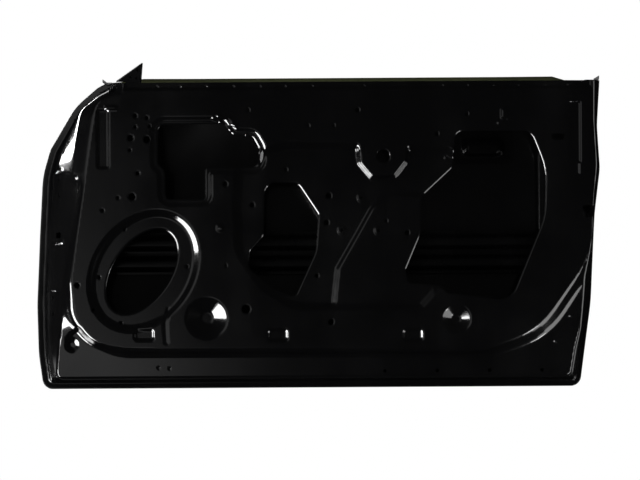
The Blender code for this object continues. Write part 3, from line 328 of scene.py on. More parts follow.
def corner_gusset(place):
    """Share of the gusset above the lower front corner, where the seal land is lifted towards the cabin."""
    rise = np.clip((GUSSET_Z[1] - place[:, 1]) / GUSSET_RISE, 0, 1)
    fall = np.clip((place[:, 1] - GUSSET_Z[0]) / GUSSET_FALL, 0, 1)
    return np.where(place[:, 0] < GUSSET_REAR_X, rise * fall, 0.0)


def rim_depth(points):
    """Depth of the rim between its rings: hem flange, end walls, seal land, seal step and flat."""
    depth = np.zeros(len(points))
    x = points[:, 0]
    z = points[:, 1]
    edge = (x < RIM_CLEAR_X[0]) | (x > RIM_CLEAR_X[1]) | (z < RIM_CLEAR_Z)
    edge[edge] = nearest(points[edge], PLATEAU)[0] < RIM_MARGIN
    some = points[edge]
    found = [nearest(some, ring) for ring in RINGS]
    signed = [each[0] for each in found]
    place = [each[1] for each in found]
    base = np.where(signed[1] > 0, edge_depth(place[1][:, 1]), edge_depth(some[:, 1]))
    land = land_depth(place[2])
    foot = LAND_FOOT_DEPTH_FADED + (LAND_FOOT_DEPTH - LAND_FOOT_DEPTH_FADED) * rear_fade(place[3])
    levels = (base, base, land, foot - GUSSET_LIFT * corner_gusset(place[3]), np.zeros(len(some)))
    total = base.copy()
    for k in (1, 2, 3):
        width = np.maximum(signed[k] - signed[k + 1], 0.6)
        total += (levels[k + 1] - levels[k]) * soft(signed[k] / width, RIM_FILLETS[k] / width)
    depth[edge] = total
    return depth


PAD_PROUD = 2.5
HINGE_PAD_HEIGHT = 76.0
PAD_HOLE_OFFSET = 20.0


def hinge_pad(z, centre_x, centre_depth, slope, half_width, height):
    """A flat pad on the slanted hinge face, which stands out of it towards the pillar."""
    pad = Pressing(box_corners((centre_x, z), (2 * half_width, height), 8), 5.0, 0.0, 2.4)
    pad.plane = lambda points: centre_depth - PAD_PROUD - slope * (points[:, 0] - centre_x)
    pad.at = (centre_x, z)
    pad.slope = slope
    pad.half_width = half_width
    return pad


UPPER_PAD = hinge_pad(0.0, 0.0, HINGE_DATUM_DEPTH + PAD_PROUD, 1.33, 21.0, HINGE_PAD_HEIGHT)
LOWER_PAD = hinge_pad(-290.0, -14.0, 74.0, 1.75, 18.0, HINGE_PAD_HEIGHT)
CHECK_PAD = hinge_pad(-118.0, -1.0, 84.0, 1.55, 19.0, 46.0)
PADS = (UPPER_PAD, LOWER_PAD, CHECK_PAD)
SPEAKER_AT = (209.6, -206.4)
SPEAKER_TILT = math.radians(55.0)
SPEAKER_LONG = 115.0
SPEAKER_SHORT = 67.7
BOSS_HOLE = (791.0, 67.0)
BOSS_HOLE_RADIUS = 15.5
PULL_NUTS = ((738.7, -31.9), (691.4, -110.3), (779.5, -111.6))
STUD_AT = (398.7, -103.0)
LATCH_SCREWS = ((34.0, -28.0), (34.0, -108.0), (84.0, -62.0))
BELT_STEP_X = (169.5, REAR_X - 35.0)
BELT_STEP_Z = BELT_Z - 18.0
BELT_STEP_DEPTH = 5.0

RECESS = Pressing(
    [
        (436.0, 60.0, 18), (431.0, -60.0, 300), (436.0, -164.0, 60), (492.0, -247.0, 60),
        (566.0, -298.0, 60), (600.0, -302.0, 40), (882.0, -303.0, 20), (934.0, -246.0, 20),
        (990.0, -180.0, 20), (990.0, 60.0, 20), (948.0, 87.0, 18), (850.0, 95.0, 60),
        (560.0, 103.0, 60), (500.0, 86.0, 20), (487.0, 60.0, 12),
    ],
    15.0,
    13.0,
    3.6,
)
BOSS = Pressing(
    [
        (722.0, 130.0, 0), (730.0, 48.0, 14), (762.0, 10.0, 14), (822.0, 14.0, 16), (852.0, 52.0, 16),
        (860.0, 130.0, 0),
    ],
    9.0,
    1.0,
    2.6,
)
PULL_STEP = Pressing(
    [
        (662.0, -330.0, 0), (676.0, -200.0, 20), (727.0, -112.0, 60), (762.0, -50.0, 50),
        (812.0, -19.0, 30), (900.0, -22.0, 20), (930.0, -330.0, 0),
    ],
    9.0,
    -6.0,
    3.2,
)
FRONT_OPENING = [
    (250.0, 147.0, 20), (409.0, 147.0, 16), (432.0, 119.5, 16), (478.0, 117.0, 16), (493.0, 90.0, 16),
    (492.0, 44.0, 16), (363.0, 44.0, 8), (363.0, -33.0, 9), (268.0, -33.0, 12), (267.0, 36.0, 8),
    (250.0, 52.0, 8),
]
MIDDLE_OPENING = [
    (506.0, 7.0, 30), (586.0, 4.0, 24), (635.0, -70.0, 9), (628.0, -160.0, 80), (577.0, -270.0, 12),
    (524.0, -250.0, 50), (466.0, -198.0, 22), (470.0, -158.0, 14), (503.0, -122.0, 16),
]
REAR_OPENING = [
    (964.0, 127.0, 22), (1146.0, 127.0, 34), (1182.0, 36.0, 160), (1178.0, -80.0, 160),
    (1094.0, -284.0, 46), (1002.0, -268.0, 100), (944.0, -262.0, 10), (926.0, -243.0, 14),
    (850.0, -238.0, 14), (844.0, -206.0, 14), (881.0, -118.0, 60), (881.0, -32.0, 10),
    (959.0, 40.0, 20),
]
LANDING_AT = (SPEAKER_AT[0] + 5.0, SPEAKER_AT[1] + 1.0)
LANDING = Pressing(
    ellipse(LANDING_AT, SPEAKER_LONG + 42.0, SPEAKER_SHORT + 53.0, SPEAKER_TILT), 13.6, 9.0, 4.4
)
BELT_STEP_CORNERS = [
    (BELT_STEP_X[0], ABOVE, 0), (BELT_STEP_X[0], BELT_STEP_Z, 0), (BELT_STEP_X[1], BELT_STEP_Z, 0),
    (BELT_STEP_X[1], ABOVE, 0),
]
BELT_STEP = Pressing(BELT_STEP_CORNERS, 4.0, BELT_STEP_DEPTH, 1.8)
BELT_WELDS_X = (
    (249.0, 304.0, 367.0, 432.0, 497.0, 557.0, 621.0)
    + (746.0, 934.0, 994.0, 1056.0, 1116.0, 1181.0, 1234.0)
)
EMBOSSES = ((215.0, -359.0), (536.0, -361.0), (860.0, -363.0))
LOW_PIPS = ((247.2, -439.8), (273.7, -441.7), (1204.2, -383.0), (1240.8, -322.9))
HINGE_FACE_WELDS = (
    (4.8, 44.0, 4.5), (17.2, -76.0, 3.5), (4.4, -78.0, 3.0), (14.5, -106.7, 3.5), (-9.5, -121.2, 3.0),
    (10.6, -146.0, 3.0), (-15.6, -156.1, 4.0), (-17.6, -196.6, 6.0), (-9.4, -222.0, 3.0),
    (19.5, 112.3, 3.5), (10.3, 85.7, 3.5),
)
RAISED = (
    [
        Pressing(box_corners((119.0, 112.0), (30.0, 142.0), 6), 4.0, 3.0, 2.0),
        Pressing(box_corners((REAR_X - 78, 122.0), (30.0, 150.0), 6), 4.0, 3.0, 2.0),
        Pressing(box_corners((139.0, 187.0), (32.0, 12.0), 4), 4.0, -3.0, 1.6),
        Pressing(box_corners((REAR_X - 84, 34.0), (36.0, 30.0), 5), 4.0, 2.0, 1.8),
        Pressing(box_corners((REAR_X - 246, 168.0), (22.0, 28.0), 6), 5.0, -3.5, 2.0),
        Pressing(inset(FRONT_OPENING, -17.0), 6.0, 4.0, 2.4),
        LANDING,
        BELT_STEP,
        Dimple((38.8, -382.8), 19.0, 5.0, 13.0),
        Dimple((365.0, -320.0), 50.0, 18.5, 35.0, 3.4),
        Dimple((965.0, -325.0), 35.0, 14.0, 24.5, 2.8),
    ]
    + [Pressing(box_corners(at, (50.0, 32.0), 10), 6.0, 5.0, 2.4) for at in EMBOSSES]
    + [Dimple((x, 236.0 - (x - BELT_WELDS_X[0]) * 0.002), 3.8, 1.5, 2.6, 1.0) for x in BELT_WELDS_X]
    + [Dimple(at, 11.5, -1.6, 3.0, 1.3) for at in PULL_NUTS]
    + [Dimple(STUD_AT, 10.0, -1.2, 3.0, 1.2)]
    + [Dimple((x, z), radius + 1.0, 1.8, radius, 1.2) for x, z, radius in HINGE_FACE_WELDS]
    + [Dimple((49.2, 20.0), 6.5, -3.0, 4.5, 2.0)]
    + [Dimple(at, 4.5, 1.4, 3.2, 1.2) for at in LOW_PIPS]
    + [
        Crease(((396.0, 166.0), (412.0, 160.0), (424.0, 146.0), (438.0, 142.0)), 6.0, 2.4),
        Crease(((384.0, 161.0), (398.0, 155.0), (410.0, 141.0), (424.0, 131.0)), 6.0, 2.4),
        Crease(((464.0, 119.0), (476.0, 111.0), (482.0, 92.0)), 5.0, 1.8),
        Crease(((268.0, -376.0), (266.0, -330.0), (274.0, -300.0)), 9.0, -1.4),
        Crease(((1070.0, 146.0), (1090.0, 150.0), (1106.0, 164.0), (1154.0, 165.0)), 7.0, 1.3),
        Crease(((878.0, 16.0), (905.0, 34.0), (936.0, 62.0)), 6.0, -1.6),
    ]
)
SMALL_HOLES = (
    (196.3, 167.5, 4.5), (224.6, 162.1, 4.0), (196.2, 140.7, 3.5), (231.0, 141.7, 3.5),
    (184.7, 113.9, 7.0), (224.3, 109.8, 8.0), (183.1, 84.8, 3.5), (201.9, 29.3, 4.5),
    (154.3, -29.5, 3.5), (187.7, -27.0, 8.0), (116.9, -59.7, 3.5), (55.3, -238.4, 5.5),
    (411.8, -193.6, 3.0), (459.8, -298.5, 10.0), (663.7, -330.2, 6.5), (630.0, -219.6, 4.5),
    (411.0, 2.0, 5.5), (475.8, -48.3, 5.5), (557.0, 36.2, 3.5), (659.5, -27.8, 7.0),
    (654.1, -91.9, 6.0), (797.2, -88.7, 3.5), (847.4, -117.3, 6.0), (467.6, 179.3, 3.5),
    (610.9, 141.0, 3.5), (672.1, 141.1, 3.5), (729.9, 178.2, 5.0), (920.4, 119.6, 4.5),
    (992.4, 166.9, 4.0), (106.8, -219.5, 3.5), (158.9, -330.2, 3.5), (93.4, -297.9, 3.5),
    (168.2, -104.7, 3.5), (318.2, -195.4, 3.5),
)


def edge_roll(points, depth, outline, width, turn):
    """The last of the sheet before a cut edge, turned towards the outside."""
    near = in_box(points, outline, width)
    if near.any():
        away = -nearest(points[near], outline)[0]
        depth[near] += turn * np.clip(1 - away / width, 0, 1) ** 2


OPENING_EDGES = [rounded(each) for each in (FRONT_OPENING, MIDDLE_OPENING, REAR_OPENING)]
OPENING_EDGES.append(ellipse(SPEAKER_AT, SPEAKER_LONG, SPEAKER_SHORT, SPEAKER_TILT))
OPENING_ROLL = (4.5, 2.4)
BOSS_EDGE = circle(BOSS_HOLE, BOSS_HOLE_RADIUS, 48)
BOSS_ROLL = (3.5, 1.6)
SMALL_HOLE_ROLL = (2.6, 1.0)


def panel_depth(points):
    """Depth of the inner panel's cabin face at each (x, z)."""
    points = np.asarray(points, float)
    depth = rim_depth(points)
    in_recess = RECESS.share(points)
    depth = depth + RECESS.depth * in_recess * (1 - BOSS.share(points))
    depth = depth + PULL_STEP.lift(points) * in_recess
    for raised in RAISED:
        depth = depth + raised.lift(points)
    for outline in OPENING_EDGES:
        edge_roll(points, depth, outline, *OPENING_ROLL)
    edge_roll(points, depth, BOSS_EDGE, *BOSS_ROLL)
    width, turn = SMALL_HOLE_ROLL
    for x, z, radius in SMALL_HOLES:
        away = np.hypot(points[:, 0] - x, points[:, 1] - z) - radius
        depth += turn * np.clip(1 - away / width, 0, 1) ** 2
    for pad in PADS:
        share = pad.share(points)
        depth = depth + share * (pad.plane(points) - depth)
    return depth


def surface_at(surface, points, reach=0.35):
    """Depth and the unit normal towards the outside at each point."""
    points = np.asarray(points, float)
    depth = surface(points)
    slope_x = (surface(points + (reach, 0)) - surface(points - (reach, 0))) / (2 * reach)
    slope_z = (surface(points + (0, reach)) - surface(points - (0, reach))) / (2 * reach)
    normal = np.column_stack((-slope_x, np.ones(len(points)), -slope_z))
    return depth, normal / np.linalg.norm(normal, axis=1)[:, None]


def below_belt(path, top):
    """The closed ring cut off level at the given height, from its front end round to its rear end."""
    level = top - 1e-6
    low = [point for point in path if point[1] < level]
    turn = next(i for i in range(len(path)) if path[i - 1][1] >= level > path[i][1])
    ordered = [path[(turn + i) % len(path)] for i in range(len(low))]
    before = path[turn - 1]
    after = path[(turn + len(low)) % len(path)]
    first = before + (ordered[0] - before) * (top - before[1]) / (ordered[0][1] - before[1])
    last = ordered[-1] + (after - ordered[-1]) * (top - ordered[-1][1]) / (after[1] - ordered[-1][1])
    return np.array([first] + ordered + [last])


def pad_hole(pad, z_offset, radius):
    """A hole round on the slanted pad, as seen along the door's depth."""
    shape = circle((0, 0), radius)
    across = pad.at[0] + shape[:, 0] / math.hypot(1, pad.slope)
    return np.column_stack((across, pad.at[1] + z_offset + shape[:, 1]))


def latch_wall_x(depth, z):
    """Place along the door of the latch end's cabin face at a depth and height."""
    edges = []
    for ring in (LAND, WALL):
        rear = [i for i in range(len(ring)) if ring[i][0] > LATCH_END_X]
        turn = next(i for i in rear if ring[i - 1][1] <= z < ring[i][1])
        a = ring[turn - 1]
        b = ring[turn]
        edges.append(a[0] + (b[0] - a[0]) * (z - a[1]) / (b[1] - a[1]))
    high = float(edge_depth(np.array([z]))[0])
    return edges[0] + (edges[1] - edges[0]) * (depth - LAND_DEPTH_FADED) / (high - LAND_DEPTH_FADED)


def wall_hole(depth, z, radius, sides=20):
    """A round hole in the latch end, as seen along the door's depth."""
    points = []
    for angle in np.arange(sides) * 2 * math.pi / sides:
        at_z = z + radius * math.sin(angle)
        points.append((latch_wall_x(depth + radius * math.cos(angle), at_z), at_z))
    return np.array(points)


HALF_MOON = [
    (REAR_X - 134, 119.0, 4), (REAR_X - 104, 119.0, 4), (REAR_X - 104, 104.0, 12), (REAR_X - 134, 104.0, 12)
]
LATCH_MOUTH = [
    (REAR_X - 60, -54.0, 3), (REAR_X - 26, -54.0, 1), (REAR_X - 26, -82.0, 1), (REAR_X - 60, -82.0, 3)
]
CHECK_SLOT = box_corners(CHECK_PAD.at, (26.0 / math.hypot(1, CHECK_PAD.slope), 14.0), 3)


def panel_cuts():
    """Every hole through the panel: first the four openings, then the slots, then the round holes."""
    cuts = [divided(edge, 3.0) for edge in OPENING_EDGES]
    cuts += [divided(rounded(each), 2.0) for each in (HALF_MOON, LATCH_MOUTH, CHECK_SLOT)]
    cuts += [BOSS_EDGE]
    cuts += [circle((x, z), radius, 20) for x, z, radius in SMALL_HOLES]
    cuts += [circle((REAR_X - 537.0 + k * 126.5, -450.0), 4.0, 16) for k in range(4)]
    cuts += [circle(at, 3.3, 16) for at in PULL_NUTS]
    cuts += [pad_hole(pad, side * PAD_HOLE_OFFSET, 5.0) for pad in (UPPER_PAD, LOWER_PAD) for side in (-1, 1)]
    cuts += [wall_hole(depth, z, 4.0) for depth, z in LATCH_SCREWS]
    cuts += [wall_hole(depth, z, 7.0) for depth, z in ((62.0, 96.0), (58.0, -190.0))]
    return cuts


def band_points(outer, inner, shares, step):
    """Rows of points on the band between two rings."""
    start = divided(outer, step)
    start = start[start[:, 1] < BELT_Z - 1.5]
    end = nearest(start, inner)[1]
    rows = [start + (end - start) * share for share in shares]
    return np.vstack(rows)


def clear_of(points, paths, gap):
    """Which of the points lie outside every cut by at least the gap."""
    keep = np.ones(len(points), bool)
    for path in paths:
        near = keep & in_box(points, path, gap)
        if near.any():
            keep[near] = nearest(points[near], path)[0] < -gap
    return keep


def flat_triangles(domain, cuts, loose):
    """Constrained triangles of the domain less its cuts, and where the outlines' points ended up."""
    verts = [tuple(point) for point in loose]
    edges = []
    loops = []
    for path in [domain] + cuts:
        first = len(verts)
        count = len(path)
        verts += [tuple(point) for point in path]
        edges += [(first + i, first + (i + 1) % count) for i in range(count)]
        loops.append(range(first, first + count))
    made, _, faces, origins, _, _ = delaunay_2d_cdt(verts, edges, [], 0, 1e-4)
    points = np.array([tuple(point) for point in made])
    faces = np.array([face for face in faces if len(face) == 3])
    corners = points[faces]
    first = corners[:, 1] - corners[:, 0]
    second = corners[:, 2] - corners[:, 0]
    area = first[:, 0] * second[:, 1] - first[:, 1] * second[:, 0]
    faces[area < 0] = faces[area < 0][:, ::-1]
    middle = corners.mean(axis=1)
    inside = nearest(middle, domain)[0] > 0
    for cut in cuts:
        near = inside & in_box(middle, cut)
        if near.any():
            inside[near] = nearest(middle[near], cut)[0] < 0
    faces = faces[inside & (np.abs(area) > 1e-5)]
    where = {}
    for new, olds in enumerate(origins):
        for old in olds:
            where[old] = new
    return points, faces, [[where[i] for i in loop] for loop in loops]


def rightward(before, after):
    """Unit normals to the right of the way from each place to the next."""
    run = after - before
    run /= np.linalg.norm(run, axis=1)[:, None]
    return np.column_stack((run[:, 1], -run[:, 0]))


def grown(path, distance):
    """The fine closed path moved outwards along its own normals."""
    return path + rightward(np.roll(path, 1, axis=0), np.roll(path, -1, axis=0)) * distance


def add_mesh(name, points, faces, normals=None):
    """A smooth mesh object from points (x, depth, z) in millimetres, with its own normals where given."""
    points = np.asarray(points, float)
    mesh = bpy.data.meshes.new(name)
    placed = np.column_stack((points[:, 0], points[:, 1] - HINGE_DATUM_DEPTH, points[:, 2])) * MM
    mesh.from_pydata(placed.tolist(), [], [list(face) for face in faces])
    mesh.update()
    mesh.shade_smooth()
    if normals is not None:
        mesh.normals_split_custom_set_from_vertices(np.asarray(normals).tolist())
    obj = bpy.data.objects.new(name, mesh)
    bpy.context.scene.collection.objects.link(obj)
    return obj


PANEL_GRID = 3.0
OUTLINE_STEP = 4.0
FINE_BEND = 0.07
HALF_BEND = 0.015
WALL_SHARES = (0.0, 0.04, 0.09, 0.15, 0.24, 0.36, 0.5, 0.64, 0.76, 0.85, 0.91, 0.96, 1.0)
WALL_STEP = 5.0
OPENING_COUNT = 4
ROLLED_CUTS = 40
OPENING_ROWS = (1.2, 2.6, 4.4)
HOLE_ROW = 1.3
OPENING_GAP = 5.4
HOLE_GAP = 1.9
ROW_GAP = 0.9
WALL_GAP = 1.2
RING_GAP = 1.5
OUTLINE_GAP = 1.6
OUTLINE_ROW_GAP = 1.0


def widened(bend):
    """The largest bend at each grid point or beside it."""
    wide = bend.copy()
    wide[1:] = np.maximum(wide[1:], bend[:-1])
    wide[:-1] = np.maximum(wide[:-1], bend[1:])
    wide[:, 1:] = np.maximum(wide[:, 1:], bend[:, :-1])
    wide[:, :-1] = np.maximum(wide[:, :-1], bend[:, 1:])
    return wide


def bend_of(depth):
    """How sharply the panel bends round each point of its grid."""
    bend = np.zeros(depth.shape)
    bend[:, 1:-1] += np.abs(depth[:, 2:] + depth[:, :-2] - 2 * depth[:, 1:-1])
    bend[1:-1, :] += np.abs(depth[2:, :] + depth[:-2, :] - 2 * depth[1:-1, :])
    return widened(widened(bend))


def cut_edges(front, back, through, front_loops, back_loops):
    """The sheet's cut edge round its outline and round each hole: its points, normals and faces."""
    first = len(front) + len(back)
    points = []
    normals = []
    faces = []
    for number, (near_loop, far_loop) in enumerate(zip(front_loops, back_loops)):
        ring = front[near_loop]
        run = np.roll(ring, -1, axis=0) - np.roll(ring, 1, axis=0)
        side = np.cross(run, through[far_loop])
        side /= np.maximum(np.linalg.norm(side, axis=1), 1e-9)[:, None]
        free = np.column_stack((run[:, 2], np.zeros(len(run)), -run[:, 0]))
        if number:
            free = -free
        side *= np.sign((side * free).sum(axis=1))[:, None]
        points += [ring, back[far_loop]]
        normals += [side, side]
        count = len(near_loop)
        for i in range(count):
            j = (i + 1) % count
            quad = (first + i, first + j, first + count + j, first + count + i)
            faces.append(quad[::-1] if number == 0 else quad)
        first += 2 * count
    return points, normals, faces


def build_inner_panel():
    """Front and back of the sheet on grids that are fine where it bends, joined round every edge."""
    domain = below_belt(divided(HEM, OUTLINE_STEP), BELT_Z)
    top = np.arange(domain[-1][0], domain[0][0], -OUTLINE_STEP)[1:]
    domain = np.vstack((domain, np.column_stack((top, np.full(len(top), BELT_Z)))))
    cuts = panel_cuts()
    across = np.arange(FRONT_X - 2, REAR_X + 2, PANEL_GRID)
    up = np.arange(SILL_Z - 2, BELT_Z + 3, PANEL_GRID)
    grid_x, grid_z = np.meshgrid(across, up)
    flat = np.column_stack((grid_x.ravel(), grid_z.ravel()))
    bend = bend_of(panel_depth(flat).reshape(grid_x.shape))
    rows, columns = np.indices(bend.shape)
    every_second = (rows % 2 == 0) & (columns % 2 == 0)
    fine = bend > FINE_BEND
    half = (bend > HALF_BEND) & every_second
    coarse = (rows % 4 == 0) & (columns % 4 == 0)
    off_wall = (nearest(flat, WALL)[0] < -RING_GAP) | (nearest(flat, LAND)[0] > RING_GAP)
    keep = (nearest(flat, domain)[0] > OUTLINE_GAP) & off_wall

    wall = band_points(WALL, LAND, WALL_SHARES, WALL_STEP)
    wall = wall[nearest(wall, domain)[0] > OUTLINE_ROW_GAP]
    sides = [grown(cut, distance) for cut in cuts[:OPENING_COUNT] for distance in OPENING_ROWS]
    sides += [grown(cut, HOLE_ROW) for cut in cuts[OPENING_COUNT:ROLLED_CUTS]]
    sides = np.vstack(sides)
    sides = sides[nearest(sides, domain)[0] > OUTLINE_ROW_GAP]

    def loose(chosen):
        """The chosen grid points that are clear of every edge, and the rows along the edges and end walls."""
        some = flat[chosen.ravel() & keep]
        some = some[clear_of(some, cuts[:OPENING_COUNT], OPENING_GAP)]
        some = some[clear_of(some, cuts[OPENING_COUNT:], HOLE_GAP)]
        kept_sides = sides[clear_of(sides, cuts, ROW_GAP)]
        kept_wall = wall[clear_of(wall, cuts, WALL_GAP)]
        return np.vstack((some, kept_sides, kept_wall))

    points, faces, loops = flat_triangles(domain, cuts, loose(fine | half | coarse))
    near, outwards = surface_at(panel_depth, points)
    front = np.column_stack((points[:, 0], near, points[:, 1]))
    back_points, back_faces, back_loops = flat_triangles(domain, cuts, loose((fine & every_second) | coarse))
    far, back_out = surface_at(panel_depth, back_points)
    back = np.column_stack((back_points[:, 0], far, back_points[:, 1])) + back_out * PANEL_SHEET
    edge_points, edge_normals, edge_faces = cut_edges(front, back, back_out, loops, back_loops)
    all_points = np.vstack([front, back] + edge_points)
    all_normals = np.vstack([-outwards, back_out] + edge_normals)
    all_faces = faces.tolist() + (back_faces[:, ::-1] + len(front)).tolist() + edge_faces
    return add_mesh("pressed_inner_panel", all_points, all_faces, all_normals)


panel = build_inner_panel()


def socketed_group(name, **sockets):
    """A shader node group with named inputs and outputs, and its two end nodes."""
    group = bpy.data.node_groups.new(name, "ShaderNodeTree")
    for way, labels in sockets.items():
        for label in labels:
            kind = "NodeSocketColor" if "Colour" in label else "NodeSocketFloat"
            group.interface.new_socket(name=label, in_out=way.upper(), socket_type=kind)
    return group, group.nodes.new("NodeGroupInput"), group.nodes.new("NodeGroupOutput")


def set_inputs(node, values):
    """Gives the named inputs of a node their values."""
    for name, value in values.items():
        node.inputs[name].default_value = value


def noise(tree, scale, detail, roughness=0.5, stretch=None):
    """A noise node over the object's own coordinates, in cycles per metre."""
    place = tree.nodes.new("ShaderNodeTexCoord")
    node = tree.nodes.new("ShaderNodeTexNoise")
    set_inputs(node, {"Scale": scale, "Detail": detail, "Roughness": roughness})
    if stretch:
        mapping = tree.nodes.new("ShaderNodeMapping")
        mapping.inputs["Scale"].default_value = stretch
        tree.links.new(place.outputs["Object"], mapping.inputs["Vector"])
        tree.links.new(mapping.outputs["Vector"], node.inputs["Vector"])
    else:
        tree.links.new(place.outputs["Object"], node.inputs["Vector"])
    return node


def math_node(tree, operation, first, second, clamp=False):
    """The result of one sum over two sockets or numbers."""
    node = tree.nodes.new("ShaderNodeMath")
    node.operation = operation
    node.use_clamp = clamp
    for socket, value in zip(node.inputs, (first, second)):
        if isinstance(value, (int, float)):
            socket.default_value = value
        else:
            tree.links.new(value, socket)
    return node.outputs[0]


def spread(tree, source, start, gain):
    """A level above a start, stretched by a gain and kept between 0 and 1."""
    return math_node(tree, "MULTIPLY", math_node(tree, "SUBTRACT", source, start, True), gain, True)


def build_dip_coat():
    """Dip primer: a faint drift of tone, runs down the sheet, dull dusty patches and a fine orange peel."""
    group, entry, leave = socketed_group(
        "dip_coat",
        input=("Colour", "Dull Colour", "Roughness", "Dullness", "Peel"),
        output=("Colour", "Roughness", "Height"),
    )
    patches = noise(group, 7.0, 6.0, 0.62)
    runs = noise(group, 9.0, 4.0, 0.55, (1.0, 1.0, 0.16))
    specks = noise(group, 420.0, 2.0, 0.5)
    peel = noise(group, 170.0, 2.0, 0.45)
    waves = noise(group, 26.0, 2.0, 0.4)
    mixed = math_node(group, "MULTIPLY", patches.outputs["Fac"], runs.outputs["Fac"])
    dull = math_node(group, "MULTIPLY", spread(group, mixed, 0.2, 3.4), 0.7)
    speck = math_node(group, "MULTIPLY", spread(group, specks.outputs["Fac"], 0.66, 5.0), 0.5)
    mask = math_node(group, "ADD", dull, speck, True)
    blend = group.nodes.new("ShaderNodeMix")
    blend.data_type = "RGBA"
    group.links.new(mask, blend.inputs["Factor"])
    group.links.new(entry.outputs["Colour"], blend.inputs["A"])
    group.links.new(entry.outputs["Dull Colour"], blend.inputs["B"])
    group.links.new(blend.outputs["Result"], leave.inputs["Colour"])
    added = math_node(group, "MULTIPLY", mask, entry.outputs["Dullness"])
    roughness = math_node(group, "ADD", entry.outputs["Roughness"], added, True)
    group.links.new(roughness, leave.inputs["Roughness"])
    fine_peel = math_node(group, "MULTIPLY", peel.outputs["Fac"], 0.35)
    height = math_node(group, "ADD", fine_peel, waves.outputs["Fac"])
    height = math_node(group, "MULTIPLY", height, entry.outputs["Peel"])
    group.links.new(height, leave.inputs["Height"])
    return group


DIP_COAT = build_dip_coat()
PRIMER_IOR = 1.6
GLOSS_ROUGHNESS = 0.04
PEEL_STRENGTH = 0.35
PEEL_HEIGHT_M = 0.0005


def new_material(name):
    """A material with its node tree and shader."""
    material = bpy.data.materials.new(name)
    material.use_nodes = True
    return material, material.node_tree, material.node_tree.nodes["Principled BSDF"]


def add_relief(tree, shader, height, strength, distance):
    """Bump from a height, over a distance in metres."""
    relief = tree.nodes.new("ShaderNodeBump")
    set_inputs(relief, {"Strength": strength, "Distance": distance})
    tree.links.new(height, relief.inputs["Height"])
    tree.links.new(relief.outputs["Normal"], shader.inputs["Normal"])


def primer_material(name, colour, dull, roughness, dullness, peel, coat, sheen=0.5):
    """A material of dip primer over steel: a soft sheen under a sharp gloss."""
    material, tree, shader = new_material(name)
    coating = tree.nodes.new("ShaderNodeGroup")
    coating.node_tree = DIP_COAT
    set_inputs(coating, {"Colour": (*colour, 1.0), "Dull Colour": (*dull, 1.0)})
    set_inputs(coating, {"Roughness": roughness, "Dullness": dullness, "Peel": peel})
    tree.links.new(coating.outputs["Colour"], shader.inputs["Base Color"])
    tree.links.new(coating.outputs["Roughness"], shader.inputs["Roughness"])
    add_relief(tree, shader, coating.outputs["Height"], PEEL_STRENGTH, PEEL_HEIGHT_M)
    set_inputs(shader, {"IOR": PRIMER_IOR, "Specular IOR Level": sheen})
    set_inputs(shader, {"Coat Weight": coat, "Coat Roughness": GLOSS_ROUGHNESS, "Coat IOR": PRIMER_IOR})
    return material


def finish_piece(obj, material, node):
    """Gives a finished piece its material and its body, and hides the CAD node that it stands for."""
    obj.data.materials.append(material)
    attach(obj, "root")
    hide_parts(node)


PANEL_PRIMER = primer_material(
    "panel_dip_primer", (0.0012, 0.0012, 0.0014), (0.003, 0.003, 0.0032), 0.14, 0.14, 0.5, 1.0
)
finish_piece(panel, PANEL_PRIMER, "inner_panel")

# Hinge and check link reinforcements: flat steel plates 2.5 mm thick, spot-welded behind the slanted pads
# of the hinge face, with a tapped block caged behind each hinge plate. Their edges are sheared and slightly
# rounded, and they carry the same dip primer, less glossy than on the panel.

BRACKET_PRIMER = primer_material(
    "bracket_dip_primer", (0.0012, 0.0012, 0.0014), (0.004, 0.004, 0.0042), 0.24, 0.16, 0.7, 0.15, 0.25
)
FASTENER_PRIMER = primer_material(
    "fastener_dip_primer", (0.002, 0.002, 0.0022), (0.008, 0.008, 0.0082), 0.24, 0.18, 0.5, 0.6
)
CLEARANCE = 0.3
PLATE_SHEET = 2.5
PLATE_INSET = 6.0
TAPPED_BLOCK = 7.0


def thicken(obj, thickness, offset, edge=0.25, steps=2):
    """Sheet thickness and slightly rounded sheared edges."""
    sheet = obj.modifiers.new("sheet", "SOLIDIFY")
    sheet.thickness = thickness * MM
    sheet.offset = offset
    soft_edge = obj.modifiers.new("sheared_edge", "BEVEL")
    soft_edge.width = edge * MM
    soft_edge.segments = steps
    soft_edge.limit_method = "ANGLE"
    soft_edge.angle_limit = math.radians(50)
    soft_edge.harden_normals = True
    return obj


def on_pad(pad):
    """Placing of points given along a slanted pad and in height, at a distance behind its cabin face."""
    size = math.hypot(1, pad.slope)
    depth = pad.plane(np.array([pad.at]))[0]

    def place(s, z, distance):
        return (
            pad.at[0] + (s + distance * pad.slope) / size,
            depth + (distance - s * pad.slope) / size,
            pad.at[1] + z,
        )

    return place


def plate_on(name, place, size, cuts, behind, thickness, radius, edge):
    """A flat plate with rounded corners on a slanted pad, at a distance behind its cabin face."""
    points, faces, _ = flat_triangles(rounded(box_corners((0, 0), size, radius)), cuts, [])
    obj = add_mesh(name, [place(s, z, behind) for s, z in points], faces.tolist())
    return thicken(obj, thickness, -1.0, edge, 3)


def pad_width(pad):
    """Width of the plate behind a pad, measured along the slant."""
    return 2 * (pad.half_width - PLATE_INSET) * math.hypot(1, pad.slope)


